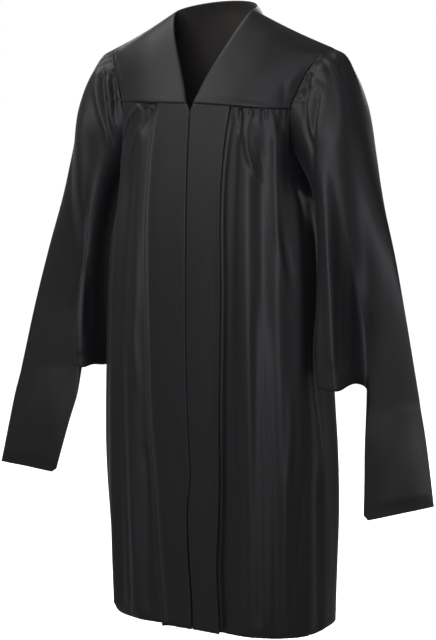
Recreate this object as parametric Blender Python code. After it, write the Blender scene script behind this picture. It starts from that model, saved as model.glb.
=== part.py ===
"""Graduation gown, hollow as worn: yokes, fronts, back, long sleeves with square tails, hidden zip.

Metres, +Z up. +X is the wearer's left and -Y the front. The origin lies between the shoulders.
"""
import math

import bpy
import numpy as np

# Cloth and seams
CLOTH = 0.0012            # wall of every cloth panel
SEAM_GAP = 0.0004         # space left between two pieces that are sewn together

# Lengths, measured down from the origin
HEM_HEIGHT = -1.255
NECK_SIDE = (0.0895, -0.022, 0.042)
NECK_BACK = (0.0, 0.062, 0.064)
NECK_SQUARENESS = 1.95
NECK_HOLLOW = 0.0055      # the V's edges bow in by this much on their way down
SHOULDER_HOLLOW = 0.003   # the shoulder seam dips by this much between neck and armhole
V_HEIGHT = -0.162         # lowest point of the V neck, where the zip begins
V_HALF_AT_SEAM = 0.007    # half of the V's width where it crosses the yoke seam
SEAM_CENTRE_HEIGHT = -0.150
BACK_SEAM_CENTRE_HEIGHT = -0.178
CHEST_FRONT = 0.131       # how far the front stands before the origin at the yoke seam
CENTRE_GAP = 0.0006       # each front's turned edge stops this far from the middle

# Cross-sections of the body, from the chest to the hem
RING_COLUMNS = ("height", "shift", "half_width", "front", "back", "squareness")
RINGS = (
    (-0.100, 0.000, 0.226, 0.127, 0.112, 2.35),
    (-0.160, 0.000, 0.221, 0.132, 0.117, 2.40),
    (-0.300, 0.000, 0.215, 0.143, 0.124, 2.50),
    (-0.420, 0.000, 0.231, 0.149, 0.130, 2.60),
    (-0.700, 0.000, 0.245, 0.150, 0.138, 2.75),
    (-0.950, 0.004, 0.254, 0.147, 0.146, 2.80),
    (-1.255, 0.011, 0.246, 0.147, 0.152, 2.80),
)

# Armhole edges from the shoulder down to the underarm; row 4 is where the yoke seam ends
ARMHOLE_COLUMNS = ("across", "depth", "height")
ARMHOLE_FRONT = (
    (0.2580, 0.0000, -0.0360),
    (0.2450, -0.0300, -0.0540),
    (0.2270, -0.0480, -0.0830),
    (0.2090, -0.0620, -0.1260),
    (0.1990, -0.0690, -0.1560),
    (0.1935, -0.0640, -0.1930),
    (0.1970, -0.0480, -0.2380),
    (0.2040, -0.0270, -0.2760),
    (0.2156, 0.0000, -0.3000),
)
ARMHOLE_BACK = (
    (0.2580, 0.0000, -0.0360),
    (0.2460, 0.0300, -0.0540),
    (0.2290, 0.0500, -0.0850),
    (0.2110, 0.0660, -0.1350),
    (0.2010, 0.0740, -0.1740),
    (0.1960, 0.0680, -0.2080),
    (0.1985, 0.0500, -0.2450),
    (0.2050, 0.0270, -0.2780),
    (0.2156, 0.0000, -0.3000),
)
SHARE_AT_ARMHOLE = 0.745  # share of the quarter ring, from its middle to the side, at the yoke seam's end
LAST_ARMHOLE_ROW = 8

# The pressed pleat of each front: how far its edge lies from the middle, down the gown
PLEAT_COLUMNS = ("height", "metres from the middle")
PLEAT_EDGE = {
    "left": (
        (-0.150, 0.092), (-0.210, 0.084), (-0.270, 0.0795), (-0.550, 0.081),
        (-0.755, 0.077), (-1.040, 0.069), (-1.100, 0.065), (-1.255, 0.067),
    ),
    "right": (
        (-0.150, 0.080), (-0.210, 0.088), (-0.310, 0.0955), (-0.640, 0.093),
        (-0.825, 0.091), (-0.905, 0.087), (-1.115, 0.078), (-1.255, 0.068),
    ),
}
PLEAT_UNDERLAY = 0.024    # how far the cloth runs back under the pleat
PLEAT_TURN = 0.00165      # radius of its two turns
PLEAT_RECOVERY = 0.075    # beyond the pleat, the cloth comes back out over this width

# Large folds of the fronts; places are metres from the middle, round the body
FOLD_COLUMNS = ("side", "top_at", "foot_at", "width", "rise", "starts", "ends")
FRONT_FOLDS = (
    ("left", 0.128, 0.160, 0.020, 0.008, -0.170, -1.300),
    ("left", 0.156, 0.186, 0.014, -0.007, -0.170, -0.620),
    ("left", 0.190, 0.222, 0.018, 0.010, -0.180, -1.300),
    ("left", 0.236, 0.268, 0.024, 0.013, -0.300, -1.080),
    ("left", 0.300, 0.306, 0.018, -0.014, -0.850, -1.900),
    ("right", 0.118, 0.150, 0.020, 0.007, -0.165, -1.300),
    ("right", 0.150, 0.185, 0.015, -0.007, -0.165, -0.900),
    ("right", 0.185, 0.225, 0.018, 0.009, -0.180, -1.300),
    ("right", 0.240, 0.262, 0.022, 0.008, -0.300, -1.100),
)

# Flutes under the back yoke; places are shares of the half back, from the middle to the side
FLUTE_COLUMNS = ("place", "width", "rise", "ends")
BACK_FLUTES = (
    (0.10, 0.016, 0.012, -1.300),
    (0.24, 0.014, 0.009, -1.000),
    (0.38, 0.017, 0.012, -1.300),
    (0.53, 0.014, 0.010, -1.150),
    (0.68, 0.018, 0.012, -1.300),
    (0.84, 0.016, 0.008, -1.250),
)
FLUTE_LEAN = 0.10         # how far the right side's flutes differ in place from the left side's

# Left sleeve, from the armhole to the wrist: its inner line, its outer line and its depth
SLEEVE_COLUMNS = ("along", "in_across", "in_height", "mid_pull", "out_across", "out_height",
                  "in_depth", "out_depth", "half_depth", "flatness")
SLEEVE_ROWS = (
    (0.00, 0.216, -0.300, 0.000, 0.258, -0.036, 0.000, 0.000, 0.070, 0.00),
    (0.06, 0.225, -0.314, 0.000, 0.287, -0.050, 0.000, 0.000, 0.078, 0.00),
    (0.14, 0.236, -0.333, 0.000, 0.310, -0.085, 0.000, 0.000, 0.084, 0.00),
    (0.25, 0.246, -0.370, 0.000, 0.330, -0.142, -0.003, 0.000, 0.087, 0.05),
    (0.40, 0.256, -0.432, 0.000, 0.353, -0.242, -0.008, -0.004, 0.088, 0.22),
    (0.55, 0.261, -0.500, -0.003, 0.381, -0.348, -0.014, -0.013, 0.086, 0.50),
    (0.70, 0.264, -0.570, -0.006, 0.413, -0.454, -0.020, -0.024, 0.082, 0.80),
    (0.85, 0.264, -0.645, -0.008, 0.446, -0.583, -0.026, -0.037, 0.079, 1.00),
    (1.00, 0.262, -0.704, -0.010, 0.480, -0.734, -0.030, -0.048, 0.076, 1.00),
)
SIDE_FLATNESS = 0.55      # power of the upper sleeve's section: smaller stands squarer at the body
BAG_PEAK = 0.13           # the bag reaches its full depth at this share of the sleeve's width
BAG_COLUMNS = ("holds", "end")          # shares of the width up to which it keeps it, and where it has died away
BAGS = {"left": (0.33, 0.53), "right": (0.17, 0.37)}
SPLITS = {"left": 0.50, "right": 0.33}  # share of the width where the tail begins
WRIST_COLUMNS = ("share of the width", "drop of the wrist edge")
WRIST_DROPS = {
    "left": (
        (0.000, 0.0000), (0.050, -0.0020), (0.100, 0.0075), (0.190, 0.0107), (0.325, 0.0071),
        (0.380, 0.0040), (0.415, -0.0036), (0.445, -0.0074), (0.478, -0.0030), (0.500, 0.0050),
        (0.550, 0.0130), (0.750, 0.0120), (1.000, 0.0000),
    ),
    "right": (
        (0.000, 0.0190), (0.024, 0.0132), (0.087, 0.0144), (0.172, 0.0080), (0.230, 0.0040),
        (0.330, 0.0060), (0.450, 0.0080), (0.700, 0.0060), (1.000, 0.0000),
    ),
}
TAIL_TOP = -0.752         # the tail's inner edge begins here, under the arc of the wrist edge
TAIL_DEPTH = -0.070       # the tail's foot lies this far forward
TAIL_HALF_DEPTH = 0.006   # half the space taken by the two layers of the tail
TAIL_CORNER_CUT = 0.010   # the tail's lower inner corner is clipped by this much
TAIL_COLUMNS = ("inner_top", "inner_foot", "outer_top", "outer_foot", "inner_height", "outer_height")
TAILS = {
    "left": (0.362, 0.371, 0.485, 0.524, -0.990, -0.944),
    "right": (0.322, 0.380, 0.487, 0.528, -0.973, -0.963),
}

# Zip, hidden behind the turned centre edges
ZIP_TOP = -0.166
ZIP_BOTTOM = -0.955
ZIP_SLIDER_LENGTH = 0.011
ZIP_CHAIN_HALF = 0.0036
ZIP_TAPE_WIDTH = 0.012
ZIP_TAPE_WALL = 0.0010
ZIP_SETBACK = 0.0042      # the tape's face lies this far behind the cloth's face
ZIP_CHAIN_WALL = 0.0022
ZIP_SLIDER_WALL = 0.0046

# How finely each panel is built
ARMHOLE_STEPS = 8         # edges along each quarter of an armhole: yoke, front, back and sleeve share them
YOKE_STEPS = 8
BODY_STEPS = (0.0, 0.015, 0.045, 0.10, 0.18, 0.30, 0.45, 0.62, 0.80, 1.0)
CENTRE_STEPS = 4
SEAM_STEPS = 10           # edges from the pleat to the armhole, and half across the back
SLEEVE_STEPS = 4 * ARMHOLE_STEPS
SLEEVE_CUTS = (0.0, 0.05, 0.12, 0.22, 0.34, 0.47, 0.60, 0.73, 0.87, 1.0)
TAIL_CUTS = (0.08, 0.25, 0.45, 0.7, 0.95, 1.0)

SHELL_COLOUR = (0.014, 0.014, 0.016, 1.0)
LINING_COLOUR = (0.020, 0.017, 0.015, 1.0)
ZIP_COLOUR = (0.010, 0.010, 0.011, 1.0)


def smooth_step(value):
    value = np.clip(value, 0.0, 1.0)
    return value * value * (3.0 - 2.0 * value)


def read_rows(rows, at):
    """Values of the columns after the first, at places along the first, by a smooth curve."""
    table = np.array(rows, dtype=float)
    key = table[:, 0]
    if key[0] > key[-1]:
        table, key = table[::-1], key[::-1]
    slope = np.gradient(table[:, 1:], key, axis=0)
    at = np.clip(np.atleast_1d(np.asarray(at, dtype=float)), key[0], key[-1])
    low = np.clip(np.searchsorted(key, at, side="right") - 1, 0, len(key) - 2)
    span = (key[low + 1] - key[low])[:, None]
    t = (at[:, None] - key[low][:, None]) / span
    first, last = table[low, 1:], table[low + 1, 1:]
    return ((2 * t**3 - 3 * t**2 + 1) * first + (t**3 - 2 * t**2 + t) * span * slope[low]
            + (3 * t**2 - 2 * t**3) * last + (t**3 - t**2) * span * slope[low + 1])


def numbered(points):
    return [(float(number), *point) for number, point in enumerate(points)]


def quarter_ring(share, half_width, reach, squareness):
    """A point at a share of the arc from the middle (0) to the side (1), with its normal."""
    angle = np.linspace(0.0, math.pi / 2, 49)[None, :]
    power = (2.0 / squareness)[:, None]
    across = half_width[:, None] * np.sin(angle) ** power
    out = reach[:, None] * np.cos(angle) ** power
    step = np.hypot(np.diff(across, axis=1), np.diff(out, axis=1))
    length = np.concatenate([np.zeros((len(share), 1)), np.cumsum(step, axis=1)], axis=1)
    wanted = np.clip(share, 0.0, 1.0) * length[:, -1]
    low = np.clip((length <= wanted[:, None]).sum(axis=1) - 1, 0, 47)
    row = np.arange(len(share))
    t = (wanted - length[row, low]) / (length[row, low + 1] - length[row, low])
    x = across[row, low] + t * (across[row, low + 1] - across[row, low])
    y = out[row, low] + t * (out[row, low + 1] - out[row, low])
    normal_x = (x / half_width) ** (squareness - 1) / half_width
    normal_y = (y / reach) ** (squareness - 1) / reach
    size = np.hypot(normal_x, normal_y)
    return x, y, normal_x / size, normal_y / size, length[:, -1]


def body_points(share, height, offset, side, back=False):
    """Points on the body's ring, on one side (+1 left, -1 right), moved out by offset."""
    shift, half_width, front, rear, squareness = read_rows(RINGS, height).T
    reach = rear if back else front
    x, y, normal_x, normal_y, _ = quarter_ring(share, half_width, reach, squareness)
    facing = 1.0 if back else -1.0
    return np.stack([side * (x + normal_x * offset) + shift,
                     facing * (y + normal_y * offset), height], axis=1)


def quarter_length(height, back=False):
    _, half_width, front, rear, squareness = read_rows(RINGS, height).T
    reach = rear if back else front
    return quarter_ring(np.ones(len(half_width)), half_width, reach, squareness)[4]


def armhole_point(rows, place, side):
    point = read_rows(numbered(rows), place)
    return point * np.array([side, 1.0, 1.0])


def seam_height(along, side):
    """Height of the front yoke seam, from the middle (0) to the armhole (1)."""
    end = ARMHOLE_FRONT[4][2] + (-0.004 if side > 0 else 0.008)
    return SEAM_CENTRE_HEIGHT + (end - SEAM_CENTRE_HEIGHT) * smooth_step(along)


def armhole_front_point(place, side):
    """Front armhole; its height follows the yoke seam's end on each side."""
    point = armhole_point(ARMHOLE_FRONT, place, side)
    lift = seam_height(1.0, side) - ARMHOLE_FRONT[4][2]
    point[:, 2] += lift * np.exp(-((np.atleast_1d(place) - 4.0) / 1.6) ** 2)
    return point


def fronts_seam(along, side):
    """Front yoke seam from the V's edge (0) to the armhole (1)."""
    along = np.atleast_1d(np.asarray(along, dtype=float))
    height = seam_height(along, side)
    start = V_HALF_AT_SEAM / quarter_length(height)
    share = start + (SHARE_AT_ARMHOLE - start) * along
    points = body_points(share, height, np.zeros(len(along)), side)
    end = armhole_front_point([4.0], side)[0]
    last = body_points(np.array([SHARE_AT_ARMHOLE]), np.array([seam_height(1.0, side)]),
                       np.zeros(1), side)[0]
    return points + (end - last) * (along ** 2)[:, None], share


def back_seam(along):
    """Back yoke seam from the left armhole (-1) over the middle (0) to the right one (1)."""
    along = np.atleast_1d(np.asarray(along, dtype=float))
    reach = np.abs(along)
    side = np.where(along > 0, -1.0, 1.0)
    end_height = ARMHOLE_BACK[4][2]
    height = BACK_SEAM_CENTRE_HEIGHT + (end_height - BACK_SEAM_CENTRE_HEIGHT) * smooth_step(reach)
    share = SHARE_AT_ARMHOLE * reach
    points = body_points(share, height, np.zeros(len(along)), side, back=True)
    last = body_points(np.array([SHARE_AT_ARMHOLE]), np.array([end_height]), np.zeros(1), 1.0, back=True)[0]
    miss = armhole_point(ARMHOLE_BACK, [4.0], 1.0)[0] - last
    miss = np.stack([side * miss[0], np.full(len(along), miss[1]), np.full(len(along), miss[2])], axis=1)
    return points + miss * (reach ** 2)[:, None]


def neck_edge(down, side):
    """Edge of the V from the neck's side (0) to the yoke seam (1)."""
    down = np.atleast_1d(np.asarray(down, dtype=float))
    x = V_HALF_AT_SEAM + (NECK_SIDE[0] - V_HALF_AT_SEAM) * (1.0 - down ** 1.12)
    x = x - NECK_HOLLOW * np.sin(math.pi * down ** 1.6)
    y = NECK_SIDE[1] + (-CHEST_FRONT - NECK_SIDE[1]) * down ** 0.6
    z = NECK_SIDE[2] + (SEAM_CENTRE_HEIGHT - NECK_SIDE[2]) * down
    return np.stack([side * x, y, z], axis=1)


def back_neck(along):
    """Back neck edge from the left neck side (-1) over the middle (0) to the right one (1)."""
    along = np.atleast_1d(np.asarray(along, dtype=float))
    turn = along * math.pi / 2
    power = 2.0 / NECK_SQUARENESS
    x = -np.sign(turn) * NECK_SIDE[0] * np.abs(np.sin(turn)) ** power
    rise = np.cos(turn) ** power
    y = NECK_SIDE[1] + (NECK_BACK[1] - NECK_SIDE[1]) * rise
    z = NECK_SIDE[2] + (NECK_BACK[2] - NECK_SIDE[2]) * rise
    return np.stack([x, y, z], axis=1)


def shoulder_seam(out, side):
    """Shoulder seam from the neck (0) to the armhole (1), a little hollow."""
    out = np.atleast_1d(np.asarray(out, dtype=float))[:, None]
    start, end = np.array(NECK_SIDE), np.array(ARMHOLE_FRONT[0])
    points = start + (end - start) * out
    points[:, 2] -= SHOULDER_HOLLOW * np.sin(out[:, 0] * math.pi)
    return points * np.array([side, 1.0, 1.0])


def draped(top, bottom, first, last):
    """Cloth over a shoulder: from the top edge it runs back or forward first, then down.

    The first and last columns are the given edges, and their shape dies away across the panel.
    """
    across = np.linspace(0.0, 1.0, len(top))[None, :, None]
    turn = np.linspace(0.0, math.pi / 2, len(first))[:, None]
    out, fall = np.sin(turn), 1.0 - np.cos(turn)
    sideways = (out + fall) / 2.0
    points = np.stack([top[None, :, 0] + (bottom[:, 0] - top[:, 0])[None] * sideways,
                       top[None, :, 1] + (bottom[:, 1] - top[:, 1])[None] * out,
                       top[None, :, 2] + (bottom[:, 2] - top[:, 2])[None] * fall], axis=2)
    return (points + (1.0 - across) * (first - points[:, 0])[:, None]
            + across * (last - points[:, -1])[:, None])


def split_quad(a, b, c, d):
    """Two triangles on the same diagonal everywhere, so that parallel sheets stay parallel."""
    return [face for face in ((a, b, c), (a, c, d)) if len(set(face)) == 3]


def grid_faces(rows, columns, flip):
    faces = []
    for i in range(rows - 1):
        for j in range(columns - 1):
            a = i * columns + j
            faces += split_quad(a, a + columns, a + columns + 1, a + 1)
    return [face[::-1] for face in faces] if flip else faces


def even_normals(points, faces):
    """Vertex normals, longer where faces meet at an angle, so that a wall keeps its thickness."""
    total = np.zeros_like(points)
    face_normals = []
    for face in faces:
        corner = points[list(face)]
        normal = np.cross(corner[1] - corner[0], corner[2] - corner[0])
        normal = normal / max(np.linalg.norm(normal), 1e-12)
        face_normals.append(normal)
        total[list(face)] += normal
    total /= np.maximum(np.linalg.norm(total, axis=1), 1e-12)[:, None]
    agreement, count = np.zeros(len(points)), np.zeros(len(points))
    for face, normal in zip(faces, face_normals):
        agreement[list(face)] += total[list(face)] @ normal
        count[list(face)] += 1
    return total / np.maximum(agreement / np.maximum(count, 1), 0.55)[:, None]


def square_normals(points, faces, seams):
    """Vertex normals, turned square to an axis along each seam, so that its two sides stay apart."""
    normals = even_normals(points, faces)
    for axis, seam in seams:
        seam = list(seam)
        normals[seam, axis] = 0.0
        normals[seam] /= np.linalg.norm(normals[seam], axis=1)[:, None]
    return normals


def cloth_wall(name, points, faces, wall, material, seams=()):
    """One closed solid: the sheet, the same sheet moved in by its wall, and its rims.

    Each entry of seams is an axis and the vertices along that seam.
    """
    inside = points - square_normals(points, faces, seams) * wall
    count = len(points)
    solid = [tuple(face) for face in faces]
    solid += [tuple(corner + count for corner in face[::-1]) for face in faces]
    edges = {}
    for face in faces:
        for a, b in zip(face, face[1:] + face[:1]):
            edges[(a, b)] = True
    for a, b in edges:
        if (b, a) not in edges:
            solid.append((b, a, a + count, b + count))
    mesh = bpy.data.meshes.new(name)
    mesh.from_pydata([tuple(p) for p in np.concatenate([points, inside])], [], solid)
    mesh.materials.append(material)
    mesh.validate()
    mesh.update()
    mesh.shade_smooth()
    piece = bpy.data.objects.new(name, mesh)
    bpy.context.scene.collection.objects.link(piece)
    return piece


def make_material(name, colour, roughness):
    material = bpy.data.materials.new(name)
    material.use_nodes = True
    shader = material.node_tree.nodes["Principled BSDF"]
    shader.inputs["Base Color"].default_value = colour
    shader.inputs["Roughness"].default_value = roughness
    shader.inputs["Metallic"].default_value = 0.0
    return material


def make_front_yoke(side, label):
    """Yoke panel between neck edge, shoulder seam, armhole and yoke seam."""
    out = np.linspace(0.0, 1.0, YOKE_STEPS)
    down = np.linspace(0.0, 1.0, ARMHOLE_STEPS + 1)
    bottom, _ = fronts_seam(out, side)
    surface = draped(shoulder_seam(out, side), bottom, neck_edge(1.0 - np.cos(down * math.pi / 2), side),
                     armhole_front_point(down * 4.0, side))
    surface[-1, :, 2] += SEAM_GAP
    surface[0, :, 1] -= SEAM_GAP / 2
    points = surface.reshape(-1, 3)
    seams = ((2, range(len(points) - YOKE_STEPS, len(points))), (1, range(YOKE_STEPS)))
    cloth_wall(f"yoke_front_{label}", points, grid_faces(len(down), YOKE_STEPS, side < 0), CLOTH,
               make_material(f"yoke_cloth_{label}", SHELL_COLOUR, 0.42), seams)


def back_yoke_surface():
    """The back yoke, from the left armhole to the right one: points, faces and seams."""
    shoulder_steps, neck_steps = 6, 10
    width = np.linspace(1.0, 0.0, shoulder_steps)
    left = shoulder_seam(width, 1.0)
    right = shoulder_seam(width[::-1], -1.0)
    neck = back_neck(np.linspace(-1.0, 1.0, neck_steps + 1))
    top = np.concatenate([left, neck[1:-1], right])
    bottom = back_seam(np.linspace(-1.0, 1.0, len(top)))
    down = np.linspace(0.0, 1.0, ARMHOLE_STEPS + 1)
    surface = draped(top, bottom, armhole_point(ARMHOLE_BACK, down * 4.0, 1.0),
                     armhole_point(ARMHOLE_BACK, down * 4.0, -1.0))
    surface[-1, :, 2] += SEAM_GAP
    surface[0, :, 1] += SEAM_GAP / 2
    rows, columns = surface.shape[:2]
    points = surface.reshape(-1, 3)
    seams = ((2, range(len(points) - columns, len(points))), (1, range(columns)))
    return points, grid_faces(rows, columns, False), seams


def make_back_yoke():
    points, faces, seams = back_yoke_surface()
    cloth_wall("yoke_back", points, faces, CLOTH, make_material("back_yoke_cloth", SHELL_COLOUR, 0.42), seams)


def make_back_lining():
    """The lining that shows inside the back neck: the yoke's own points, moved in."""
    points, faces, seams = back_yoke_surface()
    points = points - square_normals(points, faces, seams) * (CLOTH + SEAM_GAP)
    cloth_wall("yoke_back_lining", points, faces, CLOTH, make_material("lining_cloth", LINING_COLOUR, 0.6), seams)


def front_columns(height, side, edge):
    """Across the front: metres from the middle and set-back of each column, pleat included."""
    start = CENTRE_GAP + (V_HALF_AT_SEAM - CENTRE_GAP) * np.clip(
        (height - V_HEIGHT) / (SEAM_CENTRE_HEIGHT - V_HEIGHT), 0.0, 1.0)
    turn, fold = PLEAT_TURN, edge - PLEAT_UNDERLAY
    columns = [(start + (edge - turn - start) * k, 0.0) for k in np.linspace(0, 1, CENTRE_STEPS + 1)]
    columns += [(edge - turn * 0.3, -turn * 0.3), (edge, -turn), (edge - turn * 0.3, -turn * 1.7)]
    columns += [(edge - turn, -turn * 2), ((edge + fold) / 2, -turn * 2), (fold + turn, -turn * 2)]
    columns += [(fold + turn * 0.3, -turn * 2.3), (fold, -turn * 3), (fold + turn * 0.3, -turn * 3.7)]
    return columns


def fold_rise(metres, height, top, rows, side):
    """Sum of the soft folds at a place on the front."""
    rise = np.zeros(len(metres))
    down = np.clip((top - height) / (top - HEM_HEIGHT), 0.0, 1.0)
    for name, top_at, foot_at, width, amount, starts, ends in rows:
        if (name == "left") != (side > 0):
            continue
        centre = top_at + (foot_at - top_at) * down
        fade_in = smooth_step((starts - height) / 0.06)
        fade_out = smooth_step((height - ends) / 0.25)
        spread = width * (1.0 + 0.9 * down)
        rise += amount * fade_in * fade_out * np.exp(-((metres - centre) / spread) ** 2)
    return rise


def make_front(side, label):
    """Long front panel: centre part, S-shaped pressed pleat, and the gathered part to the side seam."""
    key = "left" if side > 0 else "right"
    edge_top = PLEAT_EDGE[key][0][1]
    pleat_count = len(front_columns(HEM_HEIGHT, side, edge_top))
    armhole_from = 0.68
    side_share = np.concatenate([np.linspace(0.0, armhole_from, SEAM_STEPS + 1),
                                 np.linspace(armhole_from, 1.0, ARMHOLE_STEPS + 1)[1:]])
    rows = []
    for step in BODY_STEPS:
        row = []
        for column in range(pleat_count):
            height = SEAM_CENTRE_HEIGHT + (HEM_HEIGHT - SEAM_CENTRE_HEIGHT) * step
            for _ in range(3):
                edge = read_rows(PLEAT_EDGE[key], [height])[0][0]
                metres, offset = front_columns(height, side, edge)[column]
                length = quarter_length(np.array([height]))[0]
                along = metres / length / SHARE_AT_ARMHOLE
                top = seam_height(along, side)
                height = float(top + (HEM_HEIGHT - top) * step)
            row.append(body_points(np.array([metres / length]), np.array([height]), np.array([offset]), side)[0])
        for g in side_share:
            if g <= armhole_from:
                top_point, _ = fronts_seam([0.0], side)
                edge_share = (edge_top - PLEAT_UNDERLAY) / quarter_length(np.array([SEAM_CENTRE_HEIGHT]))[0]
                top_share = edge_share + (SHARE_AT_ARMHOLE - edge_share) * g / armhole_from
                top_point = fronts_seam([top_share / SHARE_AT_ARMHOLE], side)[0][0]
            else:
                place = 4.0 + (LAST_ARMHOLE_ROW - 4.0) * (g - armhole_from) / (1.0 - armhole_from)
                top_point = armhole_front_point([place], side)[0]
                top_share = 1.0 - (1.0 - SHARE_AT_ARMHOLE) * abs(top_point[1] / ARMHOLE_FRONT[4][1])
            top = top_point[2]
            height = np.array([top + (HEM_HEIGHT - top) * step])
            length = quarter_length(height)[0]
            edge = read_rows(PLEAT_EDGE[key], height)[0][0]
            fold_share = (edge - PLEAT_UNDERLAY + PLEAT_TURN) / length
            hang_share = fold_share + (1.0 - fold_share) * g
            share = top_share + (hang_share - top_share) * smooth_step(step / 0.35)
            share = np.array([share])
            metres = share * length
            recovery = smooth_step((metres - edge) / PLEAT_RECOVERY)
            offset = -4.0 * PLEAT_TURN * (1.0 - recovery)
            offset = offset + fold_rise(metres, height, top, FRONT_FOLDS, side) * recovery * (1.0 - g ** 8)
            point = body_points(share, height, offset, side)[0]
            start = body_points(np.array([top_share]), np.array([top]), np.zeros(1), side)[0]
            pull = 1.0 - smooth_step(step / 0.16)
            row.append(point + (top_point - start) * pull * smooth_step(g * 4))
        rows.append(row)
    surface = np.array(rows)
    columns = surface.shape[1]
    points = surface.reshape(-1, 3)
    seams = ((2, range(columns)), (1, range(columns - 1, len(points), columns)), (0, range(0, len(points), columns)))
    cloth_wall(f"front_{label}", points, grid_faces(len(BODY_STEPS), columns, side < 0), CLOTH,
               make_material(f"front_cloth_{label}", SHELL_COLOUR, 0.42), seams)


def back_height(share, step):
    """Height of a back column: its top follows the yoke seam, then the armhole."""
    reach = abs(share)
    armhole_from = SHARE_AT_ARMHOLE
    if reach <= armhole_from:
        top_point = back_seam([-share / armhole_from])[0]
    else:
        place = 4.0 + (LAST_ARMHOLE_ROW - 4.0) * (reach - armhole_from) / (1.0 - armhole_from)
        top_point = armhole_point(ARMHOLE_BACK, [place], 1.0 if share > 0 else -1.0)[0]
    return top_point, top_point[2] + (HEM_HEIGHT - top_point[2]) * step


def flute_rise(share, height, top, side):
    """Flutes of the back: narrow and deep under the yoke, broad at the hem."""
    rise = 0.0
    length = quarter_length(np.array([height]), back=True)[0]
    down = (top - height) / (top - HEM_HEIGHT)
    for number, (place, width, amount, ends) in enumerate(BACK_FLUTES):
        where = place + (FLUTE_LEAN * (number % 2 - 0.5) * 0.3 if side < 0 else 0.0)
        spread = width * (1.0 + 0.8 * down)
        fade = float(smooth_step(down / 0.05) * smooth_step((height - ends) / 0.3))
        distance = (abs(share) - where) * length
        rise += (amount * 0.55 + amount * 0.45 * down) * fade * math.exp(-(distance / spread) ** 2)
    return rise * (1.0 - abs(share) ** 10)


def make_back():
    """One long panel from side seam to side seam."""
    side_part = np.linspace(1.0, SHARE_AT_ARMHOLE, ARMHOLE_STEPS + 1)[:-1]
    middle_part = np.linspace(SHARE_AT_ARMHOLE, -SHARE_AT_ARMHOLE, 2 * SEAM_STEPS + 1)
    shares = np.concatenate([side_part, middle_part, -side_part[::-1]])
    rows = []
    for step in BODY_STEPS:
        row = []
        for share in shares:
            side = 1.0 if share >= 0 else -1.0
            top_point, height = back_height(share, step)
            top = top_point[2]
            top_share = abs(share)
            if top_share > SHARE_AT_ARMHOLE:
                top_share = 1.0 - (1.0 - SHARE_AT_ARMHOLE) * abs(top_point[1] / ARMHOLE_BACK[4][1])
            here = top_share + (abs(share) - top_share) * float(smooth_step(step / 0.35))
            offset = flute_rise(share, height, top, side)
            point = body_points(np.array([here]), np.array([height]), np.array([offset]), side, back=True)[0]
            start = body_points(np.array([top_share]), np.array([top]), np.zeros(1), side, back=True)[0]
            pull = 1.0 - float(smooth_step(step / 0.16))
            row.append(point + (top_point - start) * pull)
        row[0][1] += SEAM_GAP
        row[-1][1] += SEAM_GAP
        rows.append(row)
    surface = np.array(rows)
    points = surface.reshape(-1, 3)
    columns = surface.shape[1]
    seams = ((2, range(columns)), (1, range(0, len(points), columns)), (1, range(columns - 1, len(points), columns)))
    cloth_wall("back", points, grid_faces(len(BODY_STEPS), columns, False), CLOTH,
               make_material("back_cloth", SHELL_COLOUR, 0.42), seams)


def sleeve_turns(turn, along, label):
    """The columns lean inward down the sleeve, so that the middle ones meet the tail's inner edge."""
    lean = math.pi / 2 - math.acos(1.0 - 2.0 * SPLITS[label])
    return turn - lean * smooth_step(along / 0.8) * np.sign(np.sin(turn)) * np.sin(turn) ** 2


def sleeve_section(turn, along, label):
    """The sleeve's cross-section: turn 0 is the underarm line, pi the outer line, front first."""
    bag_holds, bag_end = BAGS[label]
    row = read_rows(SLEEVE_ROWS, [along])[0]
    in_x, in_z, mid_pull, out_x, out_z, in_y, out_y, half_depth, flat = row
    u = (1.0 - np.cos(turn)) / 2.0
    x = in_x + (out_x - in_x) * u + 4.0 * mid_pull * u * (1.0 - u)
    z = in_z + (out_z - in_z) * u
    rounding = np.where(u < 0.5, 1.0 + (SIDE_FLATNESS - 1.0) * smooth_step(along / 0.3), 1.0)
    round_part = half_depth * np.abs(np.sin(turn)) ** rounding
    swell = np.sqrt(np.clip(1.0 - (1.0 - np.clip(u / BAG_PEAK, 0.0, 1.0)) ** 2, 0.0, 1.0))
    die = 1.0 - smooth_step((u - bag_holds) / (bag_end - bag_holds))
    bag_part = half_depth * swell * die + TAIL_HALF_DEPTH * np.abs(np.sin(turn))
    depth = round_part + (bag_part - round_part) * flat
    closing = np.exp(-((u - SPLITS[label]) / 0.025) ** 2) * smooth_step((along - 0.93) / 0.07)
    depth = depth * (1.0 - 0.85 * closing)
    middle = in_y + (out_y - in_y) * u
    y = middle - np.sign(np.sin(turn)) * depth
    return np.stack([x, y, z], axis=1)


def armhole_ring(turn):
    """The armhole's whole edge, at the same turns as the sleeve's sections."""
    points = []
    for angle in turn:
        front = angle <= math.pi
        place = LAST_ARMHOLE_ROW * (1.0 - angle / math.pi) if front else LAST_ARMHOLE_ROW * (angle / math.pi - 1.0)
        points.append((armhole_front_point if front else
                       lambda at, hand: armhole_point(ARMHOLE_BACK, at, hand))([place], 1.0)[0])
    return np.array(points)


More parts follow.
